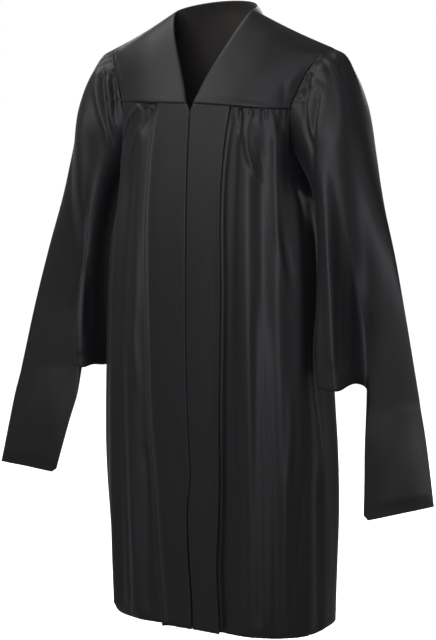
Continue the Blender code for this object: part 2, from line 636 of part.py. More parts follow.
def make_sleeve(side, label):
    """Tube from the armhole to the wrist; its outer half runs on as a closed flat tail."""
    turn = np.arange(SLEEVE_STEPS) / SLEEVE_STEPS * 2.0 * math.pi
    half, quarter = SLEEVE_STEPS // 2, SLEEVE_STEPS // 4
    armhole = armhole_ring(turn)
    armhole[:, 0] += SEAM_GAP
    start = sleeve_section(turn, 0.0, label)
    points, index = [], {}
    for row, along in enumerate(SLEEVE_CUTS):
        turns = sleeve_turns(turn, along, label)
        section = sleeve_section(turns, along, label)
        section += (armhole - start) * (1.0 - smooth_step(along / 0.28))
        u = (1.0 - np.cos(turns)) / 2.0
        section[:, 2] -= read_rows(WRIST_DROPS[label], u)[:, 0] * smooth_step((along - 0.82) / 0.18)
        for column in range(SLEEVE_STEPS):
            index[(row, column)] = len(points)
            points.append(section[column])
    inner_top, inner_foot, outer_top, outer_foot, inner_height, outer_height = TAILS[label]
    mouth = len(SLEEVE_CUTS) - 1
    top_depth = points[index[(mouth, half)]][1]

    def tail_point(column, cut):
        """Place on the tail, and the sleeve's own end that it runs on from."""
        wrist = points[index[(mouth, column)]]
        if column == quarter:
            wrist = (wrist + points[index[(mouth, 3 * quarter)]]) / 2.0
        local = (column - quarter) / half * 2.0 * math.pi
        settled = smooth_step(cut / 0.4)
        v = math.sin(local / 2.0) * (1.0 - settled) + (1.0 - math.cos(local)) / 2.0 * settled
        foot = inner_height + (outer_height - inner_height) * v
        height = wrist[2] + (foot - wrist[2]) * cut
        inner = inner_top + (inner_foot - inner_top) * (height - TAIL_TOP) / (inner_height - TAIL_TOP)
        outer = outer_top + (outer_foot - outer_top) * (height - TAIL_TOP) / (outer_height - TAIL_TOP)
        if cut == 1.0:
            inner += TAIL_CORNER_CUT
        layer = 0.0 if cut == 1.0 else TAIL_HALF_DEPTH * math.sin(local)
        depth = top_depth + (TAIL_DEPTH - top_depth) * cut - layer
        return np.array([inner + (outer - inner) * v, depth, height]), wrist

    for number, cut in enumerate(TAIL_CUTS):
        row = mouth + 1 + number
        closing = number == len(TAIL_CUTS) - 1
        carry = 1.0 - smooth_step(cut / np.array([0.35, 0.55, 1.0]))
        for column in range(quarter, 3 * quarter + 1):
            if column == 3 * quarter or (closing and column > half):
                index[(row, column)] = index[(row, SLEEVE_STEPS - column)]
                continue
            start_point, wrist = tail_point(column, 0.0)
            index[(row, column)] = len(points)
            points.append(tail_point(column, cut)[0] + (wrist - start_point) * carry)
    faces = []
    last = mouth + len(TAIL_CUTS)
    for row in range(last):
        columns = range(SLEEVE_STEPS) if row < mouth else range(quarter, 3 * quarter)
        for column in columns:
            beside = (column + 1) % SLEEVE_STEPS
            faces += split_quad(index[(row, column)], index[(row + 1, column)],
                                index[(row + 1, beside)], index[(row, beside)])
    points = np.array(points)
    if side < 0:
        points[:, 0] *= -1.0
        faces = [face[::-1] for face in faces]
    cloth_wall(f"sleeve_{label}", points, faces, CLOTH, make_material(f"sleeve_cloth_{label}", SHELL_COLOUR, 0.42))


def zip_strip(name, inner, outer, top, bottom, set_back, wall, material):
    """A flat strip behind the centre edges, following the front's line from top to bottom."""
    rows = np.linspace(top, bottom, 9)
    points = []
    for height in rows:
        front = read_rows(RINGS, [height])[0]
        for x in (inner, outer):
            points.append((front[0] + x, -front[2] + set_back, height))
    return cloth_wall(name, np.array(points), grid_faces(len(rows), 2, False), wall, material)


def make_zip():
    tape = make_material("zip_tape_cloth", ZIP_COLOUR, 0.7)
    coil = make_material("zip_coil", ZIP_COLOUR, 0.45)
    metal = make_material("zip_slider_paint", ZIP_COLOUR, 0.35)
    beside = ZIP_CHAIN_HALF + SEAM_GAP
    zip_strip("zip_tape_left", beside, beside + ZIP_TAPE_WIDTH, ZIP_TOP, ZIP_BOTTOM, ZIP_SETBACK,
              ZIP_TAPE_WALL, tape)
    zip_strip("zip_tape_right", -beside - ZIP_TAPE_WIDTH, -beside, ZIP_TOP, ZIP_BOTTOM, ZIP_SETBACK,
              ZIP_TAPE_WALL, tape)
    chain_back = ZIP_SETBACK - (ZIP_CHAIN_WALL - ZIP_TAPE_WALL) / 2
    zip_strip("zip_chain", -ZIP_CHAIN_HALF, ZIP_CHAIN_HALF, ZIP_TOP - ZIP_SLIDER_LENGTH - SEAM_GAP,
              ZIP_BOTTOM, chain_back, ZIP_CHAIN_WALL, coil)
    slider_back = ZIP_SETBACK - (ZIP_SLIDER_WALL - ZIP_TAPE_WALL) / 2
    slider = zip_strip("zip_slider", -ZIP_CHAIN_HALF, ZIP_CHAIN_HALF, ZIP_TOP,
                       ZIP_TOP - ZIP_SLIDER_LENGTH, slider_back, ZIP_SLIDER_WALL, metal)
    bevel = slider.modifiers.new("rounded", "BEVEL")
    bevel.width = 0.0008
    bevel.segments = 2
    bevel.limit_method = "ANGLE"


def main():
    for old in list(bpy.data.objects):
        bpy.data.objects.remove(old, do_unlink=True)
    for side, label in ((1.0, "left"), (-1.0, "right")):
        make_front_yoke(side, label)
        make_front(side, label)
        make_sleeve(side, label)
    make_back_yoke()
    make_back_lining()
    make_back()
    make_zip()


main()
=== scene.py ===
import math
import random

import bpy
import numpy as np
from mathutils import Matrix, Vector, noise


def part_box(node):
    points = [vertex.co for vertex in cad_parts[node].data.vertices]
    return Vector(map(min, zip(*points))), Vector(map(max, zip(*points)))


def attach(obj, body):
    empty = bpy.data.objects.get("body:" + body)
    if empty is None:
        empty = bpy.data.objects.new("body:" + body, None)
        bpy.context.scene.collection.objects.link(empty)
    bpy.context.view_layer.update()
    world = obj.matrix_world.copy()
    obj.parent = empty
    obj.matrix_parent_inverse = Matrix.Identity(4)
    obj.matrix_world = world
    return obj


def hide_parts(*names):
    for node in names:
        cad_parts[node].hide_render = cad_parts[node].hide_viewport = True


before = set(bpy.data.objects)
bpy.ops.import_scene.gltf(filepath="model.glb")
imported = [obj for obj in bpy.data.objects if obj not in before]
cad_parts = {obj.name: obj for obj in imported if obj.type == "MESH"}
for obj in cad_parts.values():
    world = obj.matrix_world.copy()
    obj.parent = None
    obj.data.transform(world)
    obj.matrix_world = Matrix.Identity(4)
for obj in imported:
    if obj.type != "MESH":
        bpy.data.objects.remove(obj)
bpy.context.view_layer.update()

# +X is the wearer's left, -Y the front, and the origin lies between the shoulders. Metres.

view = {
    "azimuth": 28.5,          # degrees round the gown
    "above": 8.0,             # degrees over the horizon
    "distance": 3.80,
    "lens": 99.8,
    "aimAcross": -0.004,
    "aimHeight": -0.612,
    "floor": -1.50,
    "worldLight": 0.20,
    "floorLight": 3.0,
    "lightAim": (0.0, 0.0, -0.45),
    "lightDistance": 3.0,
    "lightSize": (1.2, 1.4),
    "lights": (
        # name, degrees round to the wearer's left, degrees up, watts, colour
        ("keyLight", -32.0, 30.0, 25.0, (1.0, 0.99, 0.98)),
        ("yokeLight", -82.0, 58.0, 32.0, (1.0, 0.99, 0.98)),
        ("sideLight", 44.0, 38.0, 9.0, (0.96, 0.97, 1.0)),
        ("frontLight", 14.0, 8.0, 31.0, (0.95, 0.96, 1.0)),
        ("lowLight", 70.0, 8.0, 4.0, (0.97, 0.98, 1.0)),
        ("backLight", 180.0, 24.0, 24.0, (1.0, 1.0, 1.0)),
        ("backFill", -142.0, 12.0, 20.0, (0.97, 0.98, 1.0)),
    ),
}

# The gown's own sizes, which the panels share
gown = {
    "hem": -1.255,
    "ringTop": -0.020,        # lengths round the body are kept from the hem up to here, at this many heights
    "ringCount": 60,
    "seamGap": 0.0004,
    "neckSide": (0.0895, -0.022, 0.042),
    "neckBack": (0.0, 0.062, 0.064),
    "neckSquareness": 1.95,
    "neckHollow": 0.0055,
    "neckBend": (1.12, 1.6, 0.6),   # powers of the way down: slant, where it hollows, coming forward
    "shoulderHollow": 0.003,
    "vHeight": -0.162,
    "vHalfAtSeam": 0.007,
    "seamCentre": -0.150,
    "backSeamCentre": -0.178,
    "chestFront": 0.131,
    "centreGap": 0.0006,
    "shareAtArmhole": 0.745,   # share of the quarter ring at the yoke seam's end
    "seamEndShift": (-0.004, 0.008),   # the yoke seam's end, from the armhole's own row, left and right
    "seamEndSpread": 1.6,      # rows of the armhole that move with it
    "rings": (                 # height, shift, half width, front, back, squareness
        (-0.100, 0.000, 0.226, 0.127, 0.112, 2.35),
        (-0.160, 0.000, 0.221, 0.132, 0.117, 2.40),
        (-0.300, 0.000, 0.215, 0.143, 0.124, 2.50),
        (-0.420, 0.000, 0.231, 0.149, 0.130, 2.60),
        (-0.700, 0.000, 0.245, 0.150, 0.138, 2.75),
        (-0.950, 0.004, 0.254, 0.147, 0.146, 2.80),
        (-1.255, 0.011, 0.246, 0.147, 0.152, 2.80),
    ),
    "armholeFront": (          # across, depth, height, from the shoulder to the underarm
        (0.2580, 0.0000, -0.0360),
        (0.2450, -0.0300, -0.0540),
        (0.2270, -0.0480, -0.0830),
        (0.2090, -0.0620, -0.1260),
        (0.1990, -0.0690, -0.1560),
        (0.1935, -0.0640, -0.1930),
        (0.1970, -0.0480, -0.2380),
        (0.2040, -0.0270, -0.2760),
        (0.2156, 0.0000, -0.3000),
    ),
    "armholeBack": (
        (0.2580, 0.0000, -0.0360),
        (0.2460, 0.0300, -0.0540),
        (0.2290, 0.0500, -0.0850),
        (0.2110, 0.0660, -0.1350),
        (0.2010, 0.0740, -0.1740),
        (0.1960, 0.0680, -0.2080),
        (0.1985, 0.0500, -0.2450),
        (0.2050, 0.0270, -0.2780),
        (0.2156, 0.0000, -0.3000),
    ),
}


seamPlace, lastPlace = 4, 8    # rows of the armhole where the yoke seam ends, and the last one
ringSteps = 48                 # steps in a quarter of the body's ring


def smoothStep(value):
    value = np.clip(value, 0.0, 1.0)
    return value * value * (3.0 - 2.0 * value)


def hump(distance, width):
    return np.exp(-(distance / width) ** 2)


def lengthAlong(line):  # metres along a line of points, from its start
    return np.concatenate([[0.0], np.cumsum(np.linalg.norm(np.diff(line, axis=0), axis=1))])


def readRows(rows, at):  # the columns after the first, at places along the first, on a smooth curve
    table = np.array(rows, dtype=float)
    key = table[:, 0]
    if key[0] > key[-1]:
        table, key = table[::-1], key[::-1]
    slope = np.gradient(table[:, 1:], key, axis=0)
    at = np.asarray(at, dtype=float)
    place = np.clip(at.ravel(), key[0], key[-1])
    low = np.clip(np.searchsorted(key, place, side="right") - 1, 0, len(key) - 2)
    span = (key[low + 1] - key[low])[:, None]
    t = (place[:, None] - key[low][:, None]) / span
    first, last = table[low, 1:], table[low + 1, 1:]
    value = ((2 * t**3 - 3 * t**2 + 1) * first + (t**3 - 2 * t**2 + t) * span * slope[low]
             + (3 * t**2 - 2 * t**3) * last + (t**3 - t**2) * span * slope[low + 1])
    return value.reshape(at.shape + (table.shape[1] - 1,))


def numbered(points):
    return [(float(number), *point) for number, point in enumerate(points)]


def quarterRing(share, halfWidth, reach, squareness):  # share 0 is the middle, 1 the side
    angle = np.linspace(0.0, math.pi / 2, ringSteps + 1)[None, :]
    power = (2.0 / squareness)[:, None]
    across = halfWidth[:, None] * np.sin(angle) ** power
    out = reach[:, None] * np.cos(angle) ** power
    step = np.hypot(np.diff(across, axis=1), np.diff(out, axis=1))
    length = np.concatenate([np.zeros((len(share), 1)), np.cumsum(step, axis=1)], axis=1)
    wanted = np.clip(share, 0.0, 1.0) * length[:, -1]
    low = np.clip((length <= wanted[:, None]).sum(axis=1) - 1, 0, ringSteps - 1)
    row = np.arange(len(share))
    t = (wanted - length[row, low]) / (length[row, low + 1] - length[row, low])
    x = across[row, low] + t * (across[row, low + 1] - across[row, low])
    y = out[row, low] + t * (out[row, low + 1] - out[row, low])
    normalX = (x / halfWidth) ** (squareness - 1) / halfWidth
    normalY = (y / reach) ** (squareness - 1) / reach
    size = np.hypot(normalX, normalY)
    return x, y, normalX / size, normalY / size, length[:, -1]


def bodyPoints(share, height, offset, side, back=False):  # places and outward directions on the ring
    share, height, offset = np.broadcast_arrays(share, height, offset)
    shape = share.shape
    shift, halfWidth, front, rear, squareness = readRows(gown["rings"], height.ravel()).T
    reach = rear if back else front
    x, y, normalX, normalY, _ = quarterRing(share.ravel(), halfWidth, reach, squareness)
    facing = 1.0 if back else -1.0
    away = np.stack([side * normalX, facing * normalY, np.zeros(len(x))], axis=1)
    points = np.stack([side * x + shift, facing * y, height.ravel()], axis=1)
    points += away * offset.ravel()[:, None]
    return points.reshape(shape + (3,)), away.reshape(shape + (3,))


ringHeights = np.linspace(gown["hem"], gown["ringTop"], gown["ringCount"])
_, ringWidths, ringFronts, ringBacks, ringSquareness = readRows(gown["rings"], ringHeights).T
ringLengths = {}
for isBack, ringReach in ((False, ringFronts), (True, ringBacks)):
    ringLengths[isBack] = quarterRing(np.ones(len(ringHeights)), ringWidths, ringReach, ringSquareness)[4]


def quarterLength(height, back=False):
    return np.interp(height, ringHeights, ringLengths[back])


def armholePoint(rows, place, side):
    return readRows(numbered(rows), place) * np.array([side, 1.0, 1.0])


def seamHeight(along, side):  # the front yoke seam, from the middle (0) to the armhole (1)
    end = gown["armholeFront"][seamPlace][2] + gown["seamEndShift"][0 if side > 0 else 1]
    return gown["seamCentre"] + (end - gown["seamCentre"]) * smoothStep(along)


def armholeFrontPoint(place, side):
    place = np.asarray(place, dtype=float)
    point = armholePoint(gown["armholeFront"], place, side)
    lift = seamHeight(1.0, side) - gown["armholeFront"][seamPlace][2]
    point[..., 2] += lift * hump(place - seamPlace, gown["seamEndSpread"])
    return point


def frontSeam(along, side):  # from the V's edge (0) to the armhole (1)
    along = np.asarray(along, dtype=float)
    height = seamHeight(along, side)
    start = gown["vHalfAtSeam"] / quarterLength(height)
    share = start + (gown["shareAtArmhole"] - start) * along
    points, _ = bodyPoints(share, height, 0.0, side)
    last, _ = bodyPoints(gown["shareAtArmhole"], seamHeight(1.0, side), 0.0, side)
    return points + (armholeFrontPoint(seamPlace, side) - last) * (along ** 2)[..., None]


def backSeam(along, side):  # from the middle (0) to the armhole (1) of one side
    along = np.asarray(along, dtype=float)
    endHeight = gown["armholeBack"][seamPlace][2]
    height = gown["backSeamCentre"] + (endHeight - gown["backSeamCentre"]) * smoothStep(along)
    points, _ = bodyPoints(gown["shareAtArmhole"] * along, height, 0.0, side, back=True)
    last, _ = bodyPoints(gown["shareAtArmhole"], endHeight, 0.0, side, back=True)
    end = armholePoint(gown["armholeBack"], float(seamPlace), side)
    return points + (end - last) * (along ** 2)[..., None]


def neckEdge(down, side):  # the V from the neck's side (0) to the yoke seam (1)
    down = np.asarray(down, dtype=float)
    sideX, sideY, sideZ = gown["neckSide"]
    slant, hollowLow, comeForward = gown["neckBend"]
    x = gown["vHalfAtSeam"] + (sideX - gown["vHalfAtSeam"]) * (1.0 - down ** slant)
    x = x - gown["neckHollow"] * np.sin(math.pi * down ** hollowLow)
    y = sideY + (-gown["chestFront"] - sideY) * down ** comeForward
    z = sideZ + (gown["seamCentre"] - sideZ) * down
    return np.stack([side * x, y, z], axis=-1)


def backNeck(along):  # from the left neck side (-1) over the middle (0) to the right one (1)
    turn = np.asarray(along, dtype=float) * math.pi / 2
    power = 2.0 / gown["neckSquareness"]
    sideX, sideY, sideZ = gown["neckSide"]
    x = -np.sign(turn) * sideX * np.abs(np.sin(turn)) ** power
    rise = np.cos(turn) ** power
    return np.stack([x, sideY + (gown["neckBack"][1] - sideY) * rise,
                     sideZ + (gown["neckBack"][2] - sideZ) * rise], axis=-1)


def shoulderSeam(out, side):
    out = np.asarray(out, dtype=float)[:, None]
    start, end = np.array(gown["neckSide"]), np.array(gown["armholeFront"][0])
    points = start + (end - start) * out
    points[:, 2] -= gown["shoulderHollow"] * np.sin(out[:, 0] * math.pi)
    return points * np.array([side, 1.0, 1.0])


def drapedPanel(top, bottom, first, last):  # over the shoulder: away from the top edge first, then down
    across = np.linspace(0.0, 1.0, len(top))[None, :, None]
    turn = np.linspace(0.0, math.pi / 2, len(first))[:, None]
    out, fall = np.sin(turn), 1.0 - np.cos(turn)
    points = np.stack([top[None, :, 0] + (bottom[:, 0] - top[:, 0])[None] * (out + fall) / 2.0,
                       top[None, :, 1] + (bottom[:, 1] - top[:, 1])[None] * out,
                       top[None, :, 2] + (bottom[:, 2] - top[:, 2])[None] * fall], axis=2)
    return (points + (1.0 - across) * (first - points[:, 0])[:, None]
            + across * (last - points[:, -1])[:, None])


# Folds. A row of a fold table: the fold's route in the panel's own two measures, the width to each
# side of it, its rise (a trough is below zero), and the shares over which it fades in and out.

folding = {
    "steps": 8,               # places along a route for each point of it, after the first few
    "nearest": 12,            # grid points that settle one such place
    "closeness": 1.5,
    "reach": 3.2,             # widths over which a fold is felt
}


def surfaceNormals(points, wrap=False):
    if wrap:
        padded = np.concatenate([points[:, -1:], points, points[:, :1]], axis=1)
        across = (padded[:, 2:] - padded[:, :-2])
    else:
        across = np.gradient(points, axis=1)
    down = np.gradient(points, axis=0)
    normal = np.cross(down, across)
    return normal / np.maximum(np.linalg.norm(normal, axis=2), 1e-12)[..., None]


def routeOnPanel(route, measures, points, spacing):
    route = np.array(route, dtype=float)
    key = np.linspace(0.0, 1.0, len(route))
    steps = 12 + folding["steps"] * len(route)
    places = readRows(np.column_stack([key, route]), np.linspace(0.0, 1.0, steps))
    scale = np.array(spacing)
    flat, measured = points.reshape(-1, 3), measures.reshape(-1, 2)
    found = []
    for place in places:
        miss = (((measured - place) / scale) ** 2).sum(axis=1)
        near = np.argpartition(miss, folding["nearest"])[:folding["nearest"]]
        weight = np.exp(-(miss[near] - miss[near].min()) * folding["closeness"])
        found.append((flat[near] * weight[:, None]).sum(axis=0) / weight.sum())
    return np.array(found)


def foldLift(folds, measures, points, away, spacing):
    lift = np.zeros(points.shape[:2])
    flat, facing = points.reshape(-1, 3), away.reshape(-1, 3)
    for route, leftWidth, rightWidth, rise, fadeIn, fadeOut in folds:
        path = routeOnPanel(route, measures, points, spacing)
        reach = folding["reach"] * max(leftWidth, rightWidth)
        inBox = (flat > path.min(axis=0) - reach) & (flat < path.max(axis=0) + reach)
        near = np.nonzero(inBox.all(axis=1))[0]
        if len(near) == 0:
            continue
        start, step = path[:-1], np.diff(path, axis=0)
        rel = flat[near][:, None] - start[None]
        t = np.clip((rel * step).sum(axis=2) / np.maximum((step * step).sum(axis=1), 1e-12), 0.0, 1.0)
        miss = rel - t[..., None] * step
        distance = np.linalg.norm(miss, axis=2)
        best = distance.argmin(axis=1)
        row = np.arange(len(near))
        turned = np.cross(step[best], miss[row, best])
        onRight = (turned * facing[near]).sum(axis=1) < 0
        width = np.where(onRight, rightWidth, leftWidth)
        along = (best + t[row, best]) / len(step)
        fade = smoothStep(along / max(fadeIn, 1e-6)) * smoothStep((1.0 - along) / max(fadeOut, 1e-6))
        lift.ravel()[near] += rise * fade * hump(distance[row, best], width)
    return lift


def softWaves(points, size, amount, seed):  # uneven hang, longer down than across
    shift = Vector((seed * 3.17, seed * 1.73, seed * 0.91))
    flat = points.reshape(-1, 3)
    wide, tall = size
    values = [noise.noise(Vector((x / wide, y / wide, z / tall)) + shift) for x, y, z in flat]
    return amount * np.array(values).reshape(points.shape[:2])


def ripples(points, waves, seed):  # waves of several sizes together
    return sum(softWaves(points, size, amount, seed + number) for number, (size, amount) in enumerate(waves))


seamGathers = {
    "shake": 0.32,            # of the space between two gathers
    "length": (-0.014, -0.060),
    "drift": (-0.004, 0.010),
    "width": (0.0026, 0.0050),
    "rise": (0.0007, 0.0015),
    "fade": (0.05, 0.7),
    "fans": False,
}
capGathers = {
    "shake": 0.30,
    "length": (0.05, 0.15),
    "drift": (-0.05, 0.25),
    "width": (0.0026, 0.0048),
    "rise": (0.0009, 0.0020),
    "fade": (0.02, 0.75),
    "fans": True,             # they lean toward the sleeve's outer line
}


def gatherRoutes(kind, seed, first, last, top, count):  # small gathers hanging from a seam
    draw = random.Random(seed)
    folds = []
    for number in range(count):
        shake = draw.uniform(-kind["shake"], kind["shake"])
        place = first + (last - first) * (number + 0.5 + shake) / count
        length = draw.uniform(*kind["length"])
        drift = draw.uniform(*kind["drift"]) * (1.0 - place if kind["fans"] else 1.0)
        width = draw.uniform(*kind["width"])
        rise = draw.uniform(*kind["rise"]) * (0.8 if number % 2 else -1.2)
        route = ((place, top), (place + drift * 0.4, top + length * 0.5), (place + drift, top + length))
        folds.append((route, width, width * 1.2, rise, *kind["fade"]))
    return folds


def sheetPiece(name, points, corners, uvs, wall, material):
    mesh = bpy.data.meshes.new(name)
    mesh.from_pydata(points.tolist(), [], corners.tolist())
    layer = mesh.uv_layers.new(name="ClothUV")
    layer.data.foreach_set("uv", np.asarray(uvs, dtype=np.float32).ravel())
    mesh.materials.append(material)
    piece = bpy.data.objects.new(name, mesh)
    bpy.context.scene.collection.objects.link(piece)
    thick = piece.modifiers.new("cloth wall", "SOLIDIFY")
    thick.thickness = wall
    thick.offset = -1.0
    applyModifiers(piece)
    piece.data.shade_smooth()
    return piece


def applyModifiers(piece):
    bpy.ops.object.select_all(action="DESELECT")
    bpy.context.view_layer.objects.active = piece
    piece.select_set(True)
    for modifier in list(piece.modifiers):
        bpy.ops.object.modifier_apply(modifier=modifier.name)
    piece.select_set(False)


def gridCorners(rows, columns, wrap=False, flip=False):
    last = columns if wrap else columns - 1
    i, j = np.meshgrid(np.arange(rows - 1), np.arange(last), indexing="ij")
    beside = (j + 1) % columns
    above, below = i * columns, (i + 1) * columns
    quads = np.stack([above + j, below + j, below + beside, above + beside], axis=-1).reshape(-1, 4)
    return quads[:, ::-1] if flip else quads


def gridUvs(across, down, flip=False):  # arrays over the grid, with one more column where it wraps
    uv = np.stack([across, down], axis=-1)
    quads = np.stack([uv[:-1, :-1], uv[1:, :-1], uv[1:, 1:], uv[:-1, 1:]], axis=2).reshape(-1, 4, 2)
    return quads[:, ::-1] if flip else quads


def sewOn(piece, node):  # the sheet takes the place of its solid piece
    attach(piece, "root")
    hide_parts(node)
    area = sum(face.area for face in piece.data.polygons) / 2
    print(piece.name, "area", round(area, 4), "faces", len(piece.data.polygons))
    return piece


def gridPiece(name, points, wall, material, flip, node):
    rows, columns = points.shape[:2]
    across = np.repeat(lengthAlong(points[-1])[None, :], rows, axis=0)
    uvs = gridUvs(across, -points[..., 2], flip)
    corners = gridCorners(rows, columns, flip=flip)
    piece = sheetPiece(name, points.reshape(-1, 3), corners, uvs, wall, material)
    return sewOn(piece, node)


# Materials

def newMaterial(name):
    material = bpy.data.materials.new(name)
    material.use_nodes = True
    return material, material.node_tree, material.node_tree.nodes["Principled BSDF"]


def addNode(tree, kind, output, sockets, operation="", dataType="", bands="", uvMap=""):
    node = tree.nodes.new(kind)
    if operation:
        node.operation = operation
    if dataType:
        node.data_type = dataType
    if bands:
        node.bands_direction = bands
    if uvMap:
        node.uv_map = uvMap
    for socket, value in sockets:  # a value, or the output of another node
        if isinstance(value, bpy.types.NodeSocket):
            tree.links.new(value, node.inputs[socket])
        else:
            node.inputs[socket].default_value = value
    return node.outputs[output]


def clothMaterial(name, look):
    material, tree, shader = newMaterial(name)
    uv = addNode(tree, "ShaderNodeUVMap", "UV", (), uvMap="ClothUV")
    stretched = (look["threads"], look["threads"] * look["slubStretch"], 1.0)  # slubs run down the cloth
    grain = addNode(tree, "ShaderNodeMapping", "Vector", (("Vector", uv), ("Scale", stretched)))
    slub = addNode(tree, "ShaderNodeTexNoise", "Fac", (
        ("Vector", grain), ("Scale", 1.0), ("Detail", 3.0), ("Roughness", 0.6)))
    warp = addNode(tree, "ShaderNodeTexWave", "Fac", (
        ("Vector", uv), ("Scale", look["weave"]), ("Distortion", 0.4)), bands="X")
    weft = addNode(tree, "ShaderNodeTexWave", "Fac", (
        ("Vector", uv), ("Scale", look["weave"] * 0.8), ("Distortion", 0.4)), bands="Y")
    woven = addNode(tree, "ShaderNodeMath", "Value", ((0, warp), (1, weft)), operation="MULTIPLY")
    patch = addNode(tree, "ShaderNodeTexNoise", "Fac", (("Vector", uv), ("Scale", 5.0), ("Detail", 2.0)))
    broad = addNode(tree, "ShaderNodeMath", "Value", ((0, patch), (1, 0.45)), operation="MULTIPLY")
    sockets = ((0, slub), (1, 0.55), (2, broad))
    mixed = addNode(tree, "ShaderNodeMath", "Value", sockets, operation="MULTIPLY_ADD")
    sockets = (("Factor", mixed), ("A", look["dark"]), ("B", look["light"]))
    tone = addNode(tree, "ShaderNodeMix", "Result", sockets, dataType="RGBA")
    rough = addNode(tree, "ShaderNodeMapRange", "Result", (
        ("Value", slub), ("To Min", look["roughness"] - look["roughSpread"]),
        ("To Max", look["roughness"] + look["roughSpread"])))
    threads = addNode(tree, "ShaderNodeBump", "Normal", (
        ("Strength", look["weaveBump"]), ("Distance", 0.00012), ("Height", woven)))
    bumps = addNode(tree, "ShaderNodeBump", "Normal", (
        ("Strength", look["slubBump"]), ("Distance", 0.00025), ("Height", slub), ("Normal", threads)))
    for socket, value in (("Base Color", tone), ("Roughness", rough), ("Normal", bumps)):
        tree.links.new(value, shader.inputs[socket])
    shader.inputs["Specular IOR Level"].default_value = look["specular"]
    shader.inputs["Sheen Weight"].default_value = look["sheen"]
    shader.inputs["Sheen Roughness"].default_value = look["sheenRoughness"]
    shader.inputs["Sheen Tint"].default_value = look["sheenTint"]
    return material


gownLook = {
    "dark": (0.0042, 0.0043, 0.0052, 1.0),
    "light": (0.0118, 0.0119, 0.0138, 1.0),
    "roughness": 0.47,
    "roughSpread": 0.05,
    "threads": 340.0,          # slubs across a metre
    "slubStretch": 0.035,      # and their share of that down it
    "weave": 260.0,
    "weaveBump": 0.35,
    "slubBump": 0.55,
    "specular": 0.36,
    "sheen": 0.05,
    "sheenRoughness": 0.45,
    "sheenTint": (0.9, 0.93, 1.0, 1.0),
}
liningLook = dict(gownLook, dark=(0.030, 0.0265, 0.0245, 1.0), light=(0.052, 0.046, 0.042, 1.0),
                  roughness=0.72, specular=0.25, sheen=0.12)
tapeLook = dict(gownLook, roughness=0.75, specular=0.2, threads=900.0, weave=500.0)


def plainMaterial(name, colour, roughness, metallic=0.0, speckle=140.0):
    material, tree, shader = newMaterial(name)
    place = addNode(tree, "ShaderNodeTexCoord", "Object", ())
    sockets = (("Vector", place), ("Scale", speckle), ("Detail", 3.0))
    cloud = addNode(tree, "ShaderNodeTexNoise", "Fac", sockets)
    dark, light = (tuple(c * share for c in colour) + (1.0,) for share in (0.8, 1.25))
    sockets = (("Factor", cloud), ("A", dark), ("B", light))
    tone = addNode(tree, "ShaderNodeMix", "Result", sockets, dataType="RGBA")
    rough = addNode(tree, "ShaderNodeMapRange", "Result", (
        ("Value", cloud), ("To Min", roughness - 0.06), ("To Max", roughness + 0.06)))
    tree.links.new(tone, shader.inputs["Base Color"])
    tree.links.new(rough, shader.inputs["Roughness"])
    shader.inputs["Metallic"].default_value = metallic
    return material


gownCloth = clothMaterial("gown cloth", gownLook)
liningCloth = clothMaterial("yoke lining cloth", liningLook)
tapeCloth = clothMaterial("zip tape cloth", tapeLook)
threadMaterial = plainMaterial("sewing thread", (0.016, 0.016, 0.018), 0.42)
coilMaterial = plainMaterial("zip coil nylon", (0.012, 0.012, 0.013), 0.38)
sliderMaterial = plainMaterial("zip slider paint", (0.014, 0.014, 0.015), 0.35, metallic=0.3)
print("materials made")


# Fronts

frontPanel = {
    "wall": 0.0007,
    "rows": 170,
    "rowCrowding": 1.25,      # the rows stand closer together near the yoke seam
    "centreColumns": 32,
    "centreCrowding": 1.6,    # and these columns near the pleat's edge
    "gatheredColumns": 112,
    "armholeColumns": 30,
    "armholeFrom": 0.68,      # the gathered part's columns past this share hang from the armhole
    "lipRadius": 0.0030,      # roll of the turned centre edge
    "lipDepth": 0.0042,
    "zipFoot": -0.955,        # no zip lies behind the edges from here down
    "openBelowZip": 0.0010,
    "openFrom": -0.960,
    "openOver": 0.140,
    "pleatTurn": 0.0021,
    "pleatUnderlay": 0.024,
    "recovery": 0.075,        # beyond the pleat, the cloth comes back out over this width
    "settle": 0.35,           # share of the way down where the gathers hang evenly
    "pull": 0.16,             # and where the armhole's own shape has died away
    "gathersFrom": 0.012,     # metres beyond the pleat's edge
    "gathersTo": 0.225,       # metres from the middle
    "gathersBelow": 0.010,    # their start, below the seam's middle
    "edgeWidth": 0.009,       # of the stand along the pleat's edge, and the heights where it begins
    "beadWidth": 0.0042,
    "standFrom": -0.160,
    "flareFrom": -0.600,
    "flareOver": 0.600,
    "valleyBeyond": 0.004,
    "foldSpacing": (0.004, 0.012),   # the grid's own spacing, across and down
    "ripples": (((0.055, 0.26), 0.0009), ((0.020, 0.12), 0.0003)),
    "hemRoll": ((0.014, 0.05), 0.0016),
    "hemDepth": 0.014,
    "slit": (                 # height, sideways wander of the centre line
        (-0.150, 0.0010), (-0.265, -0.0005), (-0.470, 0.0008), (-0.640, 0.0008), (-0.755, 0.0015),
        (-0.860, 0.0035), (-0.935, 0.0040), (-0.985, -0.0030), (-1.080, -0.0042), (-1.205, 0.0012),
        (-1.255, 0.0008),
    ),
}

